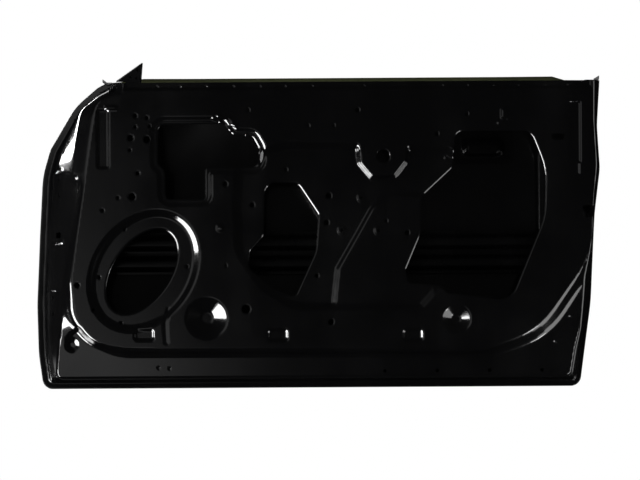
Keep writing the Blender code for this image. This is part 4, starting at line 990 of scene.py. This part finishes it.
behind = PANEL_SHEET + CLEARANCE
block_behind = behind + PLATE_SHEET + CLEARANCE
for where, pad in (("upper", UPPER_PAD), ("lower", LOWER_PAD)):
    place = on_pad(pad)
    cuts = [circle((0, side * PAD_HOLE_OFFSET), 6.0, 28) for side in (-1, 1)]
    size = (pad_width(pad), 64.0)
    plate = plate_on(f"hinge_backing_plate_{where}", place, size, cuts, behind, PLATE_SHEET, 8, 0.5)
    finish_piece(plate, BRACKET_PRIMER, f"hinge_reinforcement_{where}")
    cuts = [circle((0, side * PAD_HOLE_OFFSET), 4.0, 28) for side in (-1, 1)]
    size = (24.0, 58.0)
    block = plate_on(f"hinge_tapped_block_{where}", place, size, cuts, block_behind, TAPPED_BLOCK, 5, 0.9)
    finish_piece(block, FASTENER_PRIMER, f"hinge_tapped_plate_{where}")
cuts = [rounded(box_corners((0, 0), (28.0, 16.0), 3))]
size = (pad_width(CHECK_PAD), 34.0)
plate = plate_on("check_link_backing", on_pad(CHECK_PAD), size, cuts, behind, PLATE_SHEET, 8, 0.5)
finish_piece(plate, BRACKET_PRIMER, "check_link_reinforcement")

# Latch reinforcement: a steel plate 2.5 mm thick, curved to lie on the inside of the latch end and
# spot-welded there, pierced for the latch's three screws and notched for its mouth.

LATCH_CLEARANCE = 0.5


def lattice(across, up):
    """Every pair of the two places."""
    return np.array([(x, z) for x in across for z in up])


def build_latch_plate():
    """The plate is drawn flat in depth and height, then laid along the latch end."""
    screws = [circle(at, 4.5, 28) for at in LATCH_SCREWS]
    inner = lattice(np.linspace(20, 102, 9), np.linspace(-136, 0, 14))
    corners = [
        (12.0, -143.0, 10), (110.0, -143.0, 10), (110.0, 7.0, 10), (12.0, 7.0, 10),
        (12.0, -52.0, 2), (52.0, -52.0, 4), (52.0, -84.0, 4), (12.0, -84.0, 2),
    ]
    outline = divided(rounded(corners), 8.0)
    keep = (nearest(inner, outline)[0] > 3.0) & clear_of(inner, screws, 3.0)
    points, faces, _ = flat_triangles(outline, screws, inner[keep])
    placed = [(latch_wall_x(depth, z) - PANEL_SHEET - LATCH_CLEARANCE, depth, z) for depth, z in points]
    obj = add_mesh("latch_backing_plate", placed, faces.tolist())
    return thicken(obj, PLATE_SHEET, -1.0, 0.5, 3)


finish_piece(build_latch_plate(), BRACKET_PRIMER, "latch_reinforcement")

# Belt reinforcement, inner half: a roll-formed hat rail of 1.2 mm steel sheet behind the upper edge of the
# inner panel, spot-welded along both its flanges. Its bends are about 3.5 mm.

BRACKET_SHEET = 1.2
BRACKET_BEHIND = PANEL_SHEET + CLEARANCE + BRACKET_SHEET / 2
RAIL_BEND = 3.5


def with_bends(section, radius, steps=4):
    """An open section line with its corners rounded."""
    section = [np.array(point, float) for point in section]
    line = [section[0]]
    for before, here, after in zip(section[:-2], section[1:-1], section[2:]):
        back = before - here
        ahead = after - here
        reach = min(radius, 0.45 * np.linalg.norm(back), 0.45 * np.linalg.norm(ahead))
        start = here + back / np.linalg.norm(back) * reach
        end = here + ahead / np.linalg.norm(ahead) * reach
        for k in range(steps + 1):
            t = k / steps
            line.append(start * (1 - t) ** 2 + here * 2 * t * (1 - t) + end * t**2)
    line.append(section[-1])
    return line


def lofted(name, rows, thickness, edge=0.25):
    """A sheet whose middle runs through rows of points (x, depth, z)."""
    width = len(rows[0])
    points = [point for row in rows for point in row]
    faces = [
        (r * width + c, r * width + c + 1, (r + 1) * width + c + 1, (r + 1) * width + c)
        for r in range(len(rows) - 1)
        for c in range(width - 1)
    ]
    return thicken(add_mesh(name, points, faces), thickness, 0.0, edge)


upper = BELT_STEP_DEPTH + BRACKET_BEHIND
section = ((3, upper), (15, upper), (25, 24.0), (50, 24.0), (57, BRACKET_BEHIND), (65, BRACKET_BEHIND))
line = with_bends(section, RAIL_BEND)
rows = [[(x, depth, BELT_Z - down) for down, depth in line] for x in np.linspace(235.0, 1233.0, 40)]
rail = lofted("belt_rail_inner", rows, BRACKET_SHEET)
finish_piece(rail, BRACKET_PRIMER, "belt_reinforcement_inner")

# Mirror flag: a small upright triangle of 1.2 mm steel sheet at the front of the belt, its two free edges
# turned outwards. A stiffening plate of 1.5 mm lies against its back and carries three weld nuts for the
# mirror, which are closed at the back to keep water out of their threads.

FLAG_DEPTH = BELT_STEP_DEPTH + PANEL_SHEET + CLEARANCE
FLAG_CORNERS = [
    (174.0, BELT_Z - 16, 3), (174.0, BELT_Z + 2.5, 0), (146.0, BELT_Z + 2.5, 2), (215.0, 298.0, 2),
    (211.0, BELT_Z + 3, 0), (211.0, BELT_Z - 16, 3),
]
FLAG_BEND = rounded([(64.0, BELT_Z - 58, 0), (215.0, 298.0, 2), (205.0, BELT_Z - 58, 0)])
STIFFENER_SHEET = 1.5
MIRROR_NUTS = ((203.0, 277.0), (200.0, 258.0), (186.0, 261.0))
FLAG_TURN_WIDTH = 2.6
FLAG_TURN_DEPTH = 7.0


def flag_depth(points):
    """Depth of the flag's cabin face, which turns outwards at its two free edges."""
    share = np.clip(nearest(points, FLAG_BEND)[0] / FLAG_TURN_WIDTH, 0, 1)
    return FLAG_DEPTH + FLAG_TURN_DEPTH * (1 - share) ** 2


def sampled_sheet(name, surface, outline, cuts, grid, thickness, edge=0.25, distance=0.0):
    """A sheet pressed to a surface within an outline, at a distance from it."""
    low = outline.min(axis=0)
    high = outline.max(axis=0)
    inner = lattice(np.arange(low[0], high[0], grid), np.arange(low[1], high[1], grid))
    inner = inner[nearest(inner, outline)[0] > grid * 0.4]
    inner = inner[clear_of(inner, cuts, grid * 0.4)]
    points, faces, _ = flat_triangles(outline, cuts, inner)
    depth, normal = surface_at(surface, points)
    placed = np.column_stack((points[:, 0], depth, points[:, 1])) + normal * distance
    return thicken(add_mesh(name, placed, faces.tolist()), thickness, -1.0, edge)


screw_holes = [circle(at, 3.2, 24) for at in MIRROR_NUTS]
outline = divided(rounded(FLAG_CORNERS), 1.5)
flag = sampled_sheet("mirror_corner_flag", flag_depth, outline, screw_holes, 1.6, BRACKET_SHEET)
finish_piece(flag, BRACKET_PRIMER, "mirror_flag")
flag_back = FLAG_DEPTH + BRACKET_SHEET + CLEARANCE
stiffener = sampled_sheet(
    "mirror_corner_stiffener",
    lambda points: np.full(len(points), flag_back),
    divided(rounded(inset(FLAG_CORNERS, 6.0)), 2.0),
    screw_holes,
    6.0,
    STIFFENER_SHEET,
    0.35,
)
finish_piece(stiffener, BRACKET_PRIMER, "mirror_reinforcement")


def ring_faces(near, far, sides):
    """The quads between two rings of points, given by the number of each ring's first point."""
    return [(near + i, near + (i + 1) % sides, far + (i + 1) % sides, far + i) for i in range(sides)]


def turned(name, at, profile, sides=40):
    """A piece turned about a line along the depth, through a closed profile of (radius, depth)."""
    points = []
    for radius, depth in profile:
        points += [(x, depth, z) for x, z in circle(at, max(radius, 0.01), sides)]
    faces = []
    count = len(profile)
    for k in range(count):
        faces += ring_faces(k * sides, (k + 1) % count * sides, sides)
    obj = add_mesh(name, points, faces)
    shape = bmesh.new()
    shape.from_mesh(obj.data)
    bmesh.ops.recalc_face_normals(shape, faces=shape.faces)
    shape.to_mesh(obj.data)
    shape.free()
    obj.data.set_sharp_from_angle(angle=math.radians(35))
    return obj


def thread(radius, start, end, pitch=1.0, cut=0.35):
    """Ridges of a thread, as a run of (radius, depth)."""
    count = max(2, int(abs(end - start) / pitch))
    step = (end - start) / count
    run = []
    for k in range(count):
        run += [(radius, start + step * (k + 0.25)), (radius + cut, start + step * (k + 0.75))]
    return run


NUT_HEIGHT = 5.0
NUT_BORE = 3.0


def weld_nut(name, at, foot, outer, closed=False):
    """A flanged weld nut with its thread, open at the back or closed there by a thin wall."""
    back = foot + NUT_HEIGHT
    inner = back - (0.9 if closed else 0.4)
    profile = [(NUT_BORE + 0.5, foot), (outer, foot), (outer, foot + 1.6), (outer - 0.4, foot + 2.0)]
    profile += [(outer - 1.4, foot + 2.0), (outer - 1.8, back - 0.5), (outer - 2.3, back)]
    profile += [(0.0, back), (0.0, inner)] if closed else [(NUT_BORE + 0.6, back)]
    return turned(name, at, profile + thread(NUT_BORE, inner, foot + 0.4, 0.8))


foot = flag_back + STIFFENER_SHEET + CLEARANCE
for count, at in enumerate(MIRROR_NUTS, start=1):
    nut = weld_nut(f"mirror_weld_nut_{count}", at, foot, 6.5, closed=True)
    finish_piece(nut, BRACKET_PRIMER, f"mirror_nut_{count}")

# Corner brackets: short tabs of 1.2 mm steel sheet, folded once, that close the window slot at both ends of
# the belt. They bridge from the inner panel to the skin and are spot-welded to both.

CORNER_BEND = 2.5
level = BELT_Z + 0.5 + BRACKET_SHEET / 2
front_line = with_bends(((118.0, level + 8), (118.0, level), (140.0, level)), CORNER_BEND)
rear_line = with_bends(((REAR_X - 52, level), (REAR_X - 18, level), (REAR_X - 18, level + 10)), CORNER_BEND)
for where, section in (("front", front_line), ("rear", rear_line)):
    rows = [[(x, depth, z) for x, z in section] for depth in np.linspace(12.0, 96.0, 14)]
    tab = lofted(f"belt_corner_tab_{where}", rows, BRACKET_SHEET)
    finish_piece(tab, BRACKET_PRIMER, f"belt_corner_bracket_{where}")

# Glass run brackets: two folded channels of 1.2 mm steel sheet that guide the front and rear edges of the
# window. Each stands on a foot flange that is spot-welded to the back of the inner panel.

GLASS_RUNS = (("front", 170.0, 155.0, -40.0, 1), ("rear", REAR_X - 138.0, 75.0, -110.0, -1))
GLASS_DEPTH = 48.0
CHANNEL_WIDTH = 22
CHANNEL_DEPTH = 16
for where, at_x, top_z, low_z, way in GLASS_RUNS:
    section = (
        (-14.0 * way, BRACKET_BEHIND), (0, BRACKET_BEHIND), (0, GLASS_DEPTH),
        (way * CHANNEL_WIDTH, GLASS_DEPTH), (way * CHANNEL_WIDTH, GLASS_DEPTH + CHANNEL_DEPTH),
        (0, GLASS_DEPTH + CHANNEL_DEPTH),
    )
    line = with_bends(section, 3.0)
    rows = [[(at_x + across, depth, z) for across, depth in line] for z in np.linspace(top_z, low_z, 16)]
    channel = lofted(f"glass_run_channel_{where}", rows, BRACKET_SHEET)
    finish_piece(channel, BRACKET_PRIMER, f"glass_run_bracket_{where}")

# Nuts of the pull handle and the stud of the window carrier: turned and threaded steel, welded to the inner
# panel before the dip. The nuts sit behind the three ringed holes, and the stud stands towards the cabin.

STUD_RADIUS = 2.6
STUD_LENGTH = 16.2
for count, at in enumerate(PULL_NUTS, start=1):
    seat = float(panel_depth([(at[0] + 6.0, at[1])])[0]) + PANEL_SHEET + CLEARANCE
    nut = weld_nut(f"pull_weld_nut_{count}", at, seat, 8.5)
    finish_piece(nut, FASTENER_PRIMER, f"pull_nut_{count}")
seat = float(panel_depth([STUD_AT])[0])
tip = seat - STUD_LENGTH
profile = [(0.0, seat), (3.4, seat), (3.4, seat - 1.2), (STUD_RADIUS, seat - 1.8)]
profile += thread(STUD_RADIUS, seat - 2.0, seat - 15.2, 1.0, 0.4)
profile += [(STUD_RADIUS, seat - 15.4), (2.0, tip), (0.0, tip)]
stud = turned("carrier_threaded_stud", STUD_AT, profile)
finish_piece(stud, FASTENER_PRIMER, "carrier_stud")

# Side impact beam: a corrugated beam of 1.6 mm high-strength steel that runs between the hinge and latch
# ends, close behind the skin. It is spot-welded to a folded bracket of 1.2 mm sheet at each end, and these
# in turn to the inner panel.

BEAM_SHEET = 1.6
BEAM_Z = -165.0
BEAM_HALF = 52.0
BEAM_RIB = 22.0
BEAM_DEPTH = float(edge_depth(np.array([BEAM_Z - BEAM_HALF]))[0]) - 9.0
BEAM_FRONT = FRONT_X + 118.0
BEAM_REAR = REAR_X - 92.0
BEAM_BACK = BEAM_DEPTH + BEAM_SHEET / 2 + CLEARANCE
BRACKET_BEND = 6.0
upper = (
    (BEAM_HALF, 0),
    (BEAM_HALF * 0.82, 0),
    (BEAM_HALF * 0.66, BEAM_RIB),
    (BEAM_HALF * 0.32, BEAM_RIB),
    (BEAM_HALF * 0.16, 0),
)
line = with_bends(upper + tuple((-height, lift) for height, lift in reversed(upper)), 4.0, 5)
places = np.linspace(BEAM_FRONT, BEAM_REAR, 60)
rows = [[(x, BEAM_DEPTH - lift, BEAM_Z + height) for height, lift in line] for x in places]
beam = lofted("corrugated_impact_beam", rows, BEAM_SHEET, 0.35)
finish_piece(beam, BRACKET_PRIMER, "impact_beam")


def offset_point(surface, x, z, distance):
    """The point at a distance from a surface along its normal."""
    depth, normal = surface_at(surface, np.array([(x, z)]), 1.0)
    return (x + normal[0][0] * distance, depth[0] + normal[0][1] * distance, z + normal[0][2] * distance)


def panel_backing(x, z, lift):
    """The middle of a bracket's sheet at a lift behind where it would touch the back of the inner panel."""
    return offset_point(panel_depth, x, z, BRACKET_BEHIND + lift)


def latch_backing(depth, z, inward):
    """A point inside the latch end, at a depth and height and a distance inwards from its inner face."""
    low = float(land_depth(np.array([(REAR_X - 40, z)]))[0])
    high = float(edge_depth(np.array([z]))[0])
    share = (depth - low) / (high - low)
    ends = [latch_wall_x(LAND_DEPTH_FADED, z), latch_wall_x(high, z)]
    return (ends[0] + (ends[1] - ends[0]) * share - PANEL_SHEET - LATCH_CLEARANCE - inward, depth, z)


behind = BEAM_BACK + BRACKET_SHEET / 2
front_rows = []
rear_rows = []
for share in np.linspace(0, 1, 14):
    z = BEAM_Z + BEAM_HALF * (0.9 - 1.8 * share)
    foot_z = -160.0 - 62.0 * share
    feet = [panel_backing(x, foot_z, 0.6) for x in (-16.0, -4.0, 6.0)]
    line = [(BEAM_FRONT + 55.0, behind, z), (BEAM_FRONT - 12, behind, z), (BEAM_FRONT - 50, behind, z)] + feet
    front_rows.append([tuple(point) for point in with_bends(line, BRACKET_BEND)])
    feet = [latch_backing(depth, foot_z, BRACKET_SHEET / 2) for depth in (behind - 16, behind - 34)]
    line = [(BEAM_REAR - 55.0, behind, z), (BEAM_REAR + 12, behind, z), latch_backing(behind, foot_z, 12.0)]
    rear_rows.append([tuple(point) for point in with_bends(line + feet, BRACKET_BEND)])
for where, rows in (("front", front_rows), ("rear", rear_rows)):
    bracket = lofted(f"impact_beam_bracket_{where}", rows, BRACKET_SHEET)
    finish_piece(bracket, BRACKET_PRIMER, f"impact_beam_{where}_bracket")

# Outer skin: a crowned steel sheet 0.8 mm thick with a pressed pocket for the outer handle. Its edge is
# hemmed round the flange of the inner panel, and its upper edge is turned in along the window slot. Along
# that upper edge its faces get a lighter olive colour, which is painted light from above.

SKIN_SHEET = 0.8
SKIN_CROWN = 9.0
CROWN_RISE = 240.0
SKIN_GRID = 12.0
POCKET_GRID = 2.5
POCKET_REACH = (62, 34)
HEM_FOLD_STEPS = 8
HEM_RETURN_STEPS = (3.0, 6.5, 10.0)
BELT_LIP = ((0.3, 1.2), (0.9, 2.6), (1.0, 6.0))
HANDLE_AT = (REAR_X - 287.0, 93.0)
HANDLE_POCKET = Pressing(box_corners(HANDLE_AT, (104.0, 46.0), 20), 12.0, -12.0, 4.0)
SKIN_TOP = np.array(
    [(REAR_X - 2, BELT_Z + 8), (REAR_X - 88, BELT_Z + 9)]
    + [(x, SKIN_BELT_Z) for x in np.linspace(REAR_X - 118, 207.0, 90)]
    + [(150.0, BELT_Z + 10), (116.0, BELT_Z + 8)]
)


def skin_depth(points):
    """Depth of the skin's inner face at each (x, z)."""
    points = np.asarray(points, float)
    rise = np.clip((nearest(points, HEM)[0] - HEM_FLANGE) / CROWN_RISE, 0, 1)
    crown = SKIN_CROWN * rise * rise * (3 - 2 * rise)
    return edge_depth(points[:, 1]) + PANEL_SHEET + CLEARANCE + crown + HANDLE_POCKET.lift(points)


def skin_grid(domain, cuts):
    """Points inside the skin's outline, close together round the handle pocket."""
    coarse = lattice(np.arange(FRONT_X, REAR_X, SKIN_GRID), np.arange(SILL_Z, SKIN_BELT_Z, SKIN_GRID))
    pocket = (np.abs(coarse - HANDLE_AT) < POCKET_REACH).all(axis=1)
    fine = lattice(*(np.arange(-reach, reach + 0.1, POCKET_GRID) for reach in POCKET_REACH)) + HANDLE_AT
    grid = np.vstack((coarse[~pocket], fine))
    grid = grid[nearest(grid, domain)[0] > 4.0]
    return grid[clear_of(grid, cuts, 1.5)]


def hem_rows(chain):
    """Rows of points that fold the skin's edge round the flange and lay it back along the cabin side."""
    before = np.vstack((chain[:1] * 2 - chain[1:2], chain[:-1]))
    after = np.vstack((chain[1:], chain[-1:] * 2 - chain[-2:-1]))
    out = rightward(before, after)
    fold = PANEL_SHEET / 2 + CLEARANCE
    middle = edge_depth(chain[:, 1]) + PANEL_SHEET / 2
    rows = []
    for k in range(1, HEM_FOLD_STEPS + 1):
        reach = fold * math.sin(math.pi * k / HEM_FOLD_STEPS)
        lift = fold * math.cos(math.pi * k / HEM_FOLD_STEPS)
        folded = zip(chain, out, middle)
        rows.append([(p[0] + n[0] * reach, m + lift, p[1] + n[1] * reach) for p, n, m in folded])
    for inward in HEM_RETURN_STEPS:
        inner = chain - out * inward
        rows.append([(p[0], d - CLEARANCE, p[1]) for p, d in zip(inner, edge_depth(inner[:, 1]))])
    return rows


def build_outer_skin():
    """The crowned face, then the hem round three sides and the lip along the belt."""
    chain = below_belt(divided(HEM, 6.0), BELT_Z)
    domain = np.vstack((chain, SKIN_TOP))
    cuts = [circle((HANDLE_AT[0] + side * 64.0, HANDLE_AT[1]), 6.0, 32) for side in (-1, 1)]
    points, faces, loops = flat_triangles(domain, cuts, skin_grid(domain, cuts))
    placed = [(x, depth, z) for (x, z), depth in zip(points, skin_depth(points))]
    faces = faces.tolist()
    edge = loops[0][: len(chain)]
    belt = loops[0][len(chain) - 1 :] + loops[0][:1]

    def add_rows(last, rows):
        for row in rows:
            first = len(placed)
            placed.extend(row)
            here = list(range(first, first + len(row)))
            for i in range(len(row) - 1):
                faces.append((last[i], here[i], here[i + 1], last[i + 1]))
            last = here

    add_rows(edge, hem_rows(chain))
    lip = []
    for drop, back in BELT_LIP:
        lip.append([(placed[i][0], placed[i][1] - back, placed[i][2] + (0.6 - drop * 0.6)) for i in belt])
    add_rows(belt, lip)
    return thicken(add_mesh("hemmed_outer_skin", placed, faces), SKIN_SHEET, -1.0, 0.2)


skin = build_outer_skin()
finish_piece(skin, PANEL_PRIMER, "outer_skin")
# Painted light: a lighter olive colour for the skin's faces along its top edge, standing in for the light
# that falls there from above.
TOP_EDGE_PAINTED_LIGHT = primer_material(
    "belt_edge_painted_light", (0.12, 0.135, 0.052), (0.16, 0.172, 0.075), 0.4, 0.16, 0.6, 0.1
)
TOP_EDGE_LIGHT_X_M = (0.16, 1.25)
TOP_EDGE_LIGHT_Z_M = 0.2485
skin.data.materials.append(TOP_EDGE_PAINTED_LIGHT)
# Faces along the top edge of the skin get the painted light from above.
for face in skin.data.polygons:
    middle = face.center
    if middle.z > TOP_EDGE_LIGHT_Z_M and TOP_EDGE_LIGHT_X_M[0] < middle.x < TOP_EDGE_LIGHT_X_M[1]:
        face.material_index = 1

# Belt reinforcement, outer half: a roll-formed hat rail of 1.2 mm steel sheet, glued along its middle and
# spot-welded along its flanges inside the upper edge of the skin.

SKIN_CLEARANCE = 0.9


def skin_backing(x, z, lift):
    """The middle of the rail's sheet inside the skin, at a lift away from it."""
    return offset_point(skin_depth, x, z, -(SKIN_CLEARANCE + BRACKET_SHEET / 2 + lift))


line = with_bends(((8, 0), (20, 0), (27, 13.0), (52, 13.0), (58, 0), (70, 0)), RAIL_BEND, 3)
places = np.linspace(231.0, REAR_X - 112.0, 30)
rows = [[skin_backing(x, SKIN_BELT_Z - down, lift) for down, lift in line] for x in places]
rail = lofted("belt_rail_outer", rows, BRACKET_SHEET)
finish_piece(rail, BRACKET_PRIMER, "belt_reinforcement_outer")

# Outer handle reinforcement: a steel plate of 1.2 mm sheet, pressed to the shape of the handle pocket and
# glued behind it, with two screw holes side by side for the handle.

plate = sampled_sheet(
    "outer_handle_backing",
    skin_depth,
    divided(rounded(box_corners(HANDLE_AT, (152.0, 80.0), 16)), 5.0),
    [circle((HANDLE_AT[0] + side * 28.0, HANDLE_AT[1]), 3.5, 24) for side in (-1, 1)],
    3.0,
    BRACKET_SHEET,
    0.25,
    -(SKIN_CLEARANCE + BRACKET_SHEET),
)
finish_piece(plate, BRACKET_PRIMER, "outer_handle_reinforcement")

# Anti-flutter beads: dabs of expanding mastic that fill the gap between the impact beam and the skin, matt
# and slightly slumped. They are laid on the beam before the skin is hemmed on and swell in the paint oven.

BEAD_SIZE = (46.0, 15.0)
BEAD_SAG = 1.2


def mastic_material():
    """Matt grainy mastic with a slight drift of tone."""
    material, tree, shader = new_material("anti_flutter_mastic")
    grain = noise(tree, 240.0, 4.0, 0.6)
    shade = tree.nodes.new("ShaderNodeValToRGB")
    shade.color_ramp.elements[0].color = (0.02, 0.02, 0.021, 1.0)
    shade.color_ramp.elements[1].color = (0.05, 0.05, 0.052, 1.0)
    tree.links.new(grain.outputs["Fac"], shade.inputs["Fac"])
    tree.links.new(shade.outputs["Color"], shader.inputs["Base Color"])
    add_relief(tree, shader, grain.outputs["Fac"], 0.6, 0.0006)
    shader.inputs["Roughness"].default_value = 0.72
    return material


MASTIC = mastic_material()
for count, x in enumerate((330.0, 560.0, 800.0, 1020.0), start=1):
    layers = []
    for share in np.linspace(0, 1, 7):
        swell = 0.86 + 0.3 * (2 * share - 1) ** 2
        size = (BEAD_SIZE[0] * swell, BEAD_SIZE[1] * swell)
        sag = BEAD_SAG * math.sin(math.pi * share)
        outline = rounded(box_corners((x, BEAM_Z - sag), size, 7.4 * swell))
        far = skin_depth(outline) - SKIN_CLEARANCE
        layers.append([(px, BEAM_BACK + (d - BEAM_BACK) * share, pz) for (px, pz), d in zip(outline, far)])
    sides = min(len(layer) for layer in layers)
    points = [point for layer in layers for point in layer]
    last = (len(layers) - 1) * sides
    faces = []
    for near in range(0, last, sides):
        faces += ring_faces(near, near + sides, sides)
    faces += [tuple(reversed(range(sides))), tuple(range(last, last + sides))]
    bead = add_mesh(f"mastic_bead_{count}", points, faces)
    finish_piece(bead, MASTIC, f"flutter_bead_{count}")

# Studio: the shell hangs well above a plain pale floor in a white surround. Its gloss mirrors a dark room
# with a white wall behind the door. Of four soft lamps, one stands far off and low at the hinge side, one
# behind the hinge side, and two small ones low at the latch side.

FLOOR_LEVEL = 0.5
PLAIN_LEVEL = 0.5
DARK_ROOM_LEVEL = 0.008

floor_mesh = bpy.data.meshes.new("studio_floor")
shape = bmesh.new()
bmesh.ops.create_circle(shape, cap_ends=True, segments=96, radius=3.4)
shape.to_mesh(floor_mesh)
shape.free()
floor = bpy.data.objects.new("studio_floor", floor_mesh)
floor.location = (0.64, 0.0, -1.9)
bpy.context.scene.collection.objects.link(floor)
floor_paint, floor_tree, floor_shader = new_material("studio_floor_paint")
set_inputs(floor_shader, {"Base Color": (0.86, 0.86, 0.86, 1.0), "Roughness": 0.8})
set_inputs(floor_shader, {"Emission Color": (1.0, 1.0, 1.0, 1.0)})
floor_path = floor_tree.nodes.new("ShaderNodeLightPath")
floor_glow = math_node(floor_tree, "MULTIPLY", floor_path.outputs["Is Camera Ray"], FLOOR_LEVEL)
floor_tree.links.new(floor_glow, floor_shader.inputs["Emission Strength"])
floor_mesh.materials.append(floor_paint)
floor.visible_glossy = False

world = bpy.data.worlds.new("studio_surround")
bpy.context.scene.world = world
world.use_nodes = True
tree = world.node_tree
tree.nodes.clear()
output = tree.nodes.new("ShaderNodeOutputWorld")
background = tree.nodes.new("ShaderNodeBackground")
path = tree.nodes.new("ShaderNodeLightPath")
direction = tree.nodes.new("ShaderNodeTexCoord")
parts = tree.nodes.new("ShaderNodeSeparateXYZ")
tree.links.new(direction.outputs["Generated"], parts.inputs["Vector"])


def ramp_of(part, start, end, low, high):
    """A stretch of a direction's part, or of a sum of parts, turned into a level."""
    node = tree.nodes.new("ShaderNodeMapRange")
    set_inputs(node, {"From Min": start, "From Max": end, "To Min": low, "To Max": high})
    tree.links.new(parts.outputs[part] if isinstance(part, str) else part, node.inputs["Value"])
    return node.outputs["Result"]


def product(first, second):
    return math_node(tree, "MULTIPLY", first, second)


def total(first, second):
    return math_node(tree, "ADD", first, second)


# White wall behind the door, brighter above the horizon
straight_behind = ramp_of("Y", 0.72, 0.78, 0.0, 1.0)
behind_latch_side = product(ramp_of("Y", 0.45, 0.6, 0.0, 1.0), ramp_of("X", 0.2, 0.4, 0.0, 1.0))
behind_door = math_node(tree, "MAXIMUM", straight_behind, behind_latch_side)
wall_level = total(ramp_of("Z", -0.42, -0.1, 0.0, 0.24), ramp_of("Z", 0.1, 0.35, 0.0, 0.76))
white_wall = product(behind_door, wall_level)

# Glimmer on the flat faces, from low at the hinge side
low_hinge_side = total(product(parts.outputs["X"], -0.8), product(parts.outputs["Z"], -0.6))
glimmer = product(ramp_of(low_hinge_side, 0.06, 0.2, 0.0, 0.25), ramp_of("X", -0.03, -0.1, 0.0, 1.0))
glimmer = product(glimmer, ramp_of("Y", -0.9, -0.6, 1.0, 0.0))
glimmer = product(glimmer, ramp_of("Z", -0.34, -0.24, 0.0, 1.0))

# Mirrored rays see the dark room, camera and transmission rays see white, and all others a plain level
mirrored = total(total(white_wall, glimmer), DARK_ROOM_LEVEL)
shown = product(path.outputs["Is Glossy Ray"], mirrored)
not_mirrored = math_node(tree, "SUBTRACT", 1.0, path.outputs["Is Glossy Ray"])
level_light = total(shown, product(not_mirrored, PLAIN_LEVEL))
level_light = math_node(tree, "MAXIMUM", level_light, path.outputs["Is Camera Ray"])
level_light = math_node(tree, "MAXIMUM", level_light, path.outputs["Is Transmission Ray"])
tree.links.new(level_light, background.inputs["Strength"])
tree.links.new(background.outputs["Background"], output.inputs["Surface"])
background.inputs["Color"].default_value = (1.0, 1.0, 1.0, 1.0)


def soft_lamp(name, place, aim, size, radiance):
    """A flat soft lamp of a given size and radiance, aimed at a point and unseen by the camera."""
    light = bpy.data.lights.new(name, "AREA")
    light.shape = "RECTANGLE"
    light.size = size[0]
    light.size_y = size[1]
    light.energy = radiance * math.pi * size[0] * size[1]
    obj = bpy.data.objects.new(name, light)
    obj.location = place
    obj.rotation_euler = (Vector(aim) - Vector(place)).to_track_quat("-Z", "Y").to_euler()
    obj.visible_camera = False
    bpy.context.scene.collection.objects.link(obj)


soft_lamp("lamp_low_hinge_side", (-3.63, -2.23, -2.32), (0.35, -0.08, -0.2), (2.0, 4.0), 13.0)
soft_lamp("lamp_behind_hinge_side", (-1.03, 1.6, 0.62), (0.02, 0.0, 0.1), (1.08, 0.63), 9.0)
soft_lamp("lamp_low_latch_side", (1.545, -0.668, -0.867), (0.955, -0.08, -0.315), (0.12, 0.12), 9.0)
soft_lamp("lamp_beside_latch_side", (1.78, -0.52, -0.77), (1.2, -0.07, -0.34), (0.6, 0.6), 1.7)

# Camera: square on to the cabin side from 4.5 m, a little below the middle of the door, with the slight
# roll of the photograph and a lens that gives the door the size that it has there.

CAMERA_ROLL = -0.0062
FOCAL_PIXELS = 1875.0
PICTURE_WIDTH = 640.0
SENSOR_WIDTH = 36.0

camera = bpy.data.objects.new("camera", bpy.data.cameras.new("camera"))
camera.data.lens = SENSOR_WIDTH * FOCAL_PIXELS / PICTURE_WIDTH
camera.data.sensor_width = SENSOR_WIDTH
camera.location = (0.6385, -4.592, -0.1333)
turn = Euler((math.radians(90), 0, 0)).to_matrix() @ Euler((0, 0, CAMERA_ROLL)).to_matrix()
camera.rotation_euler = turn.to_euler()
bpy.context.scene.collection.objects.link(camera)
bpy.context.scene.camera = camera
bpy.context.scene.view_settings.view_transform = "Standard"
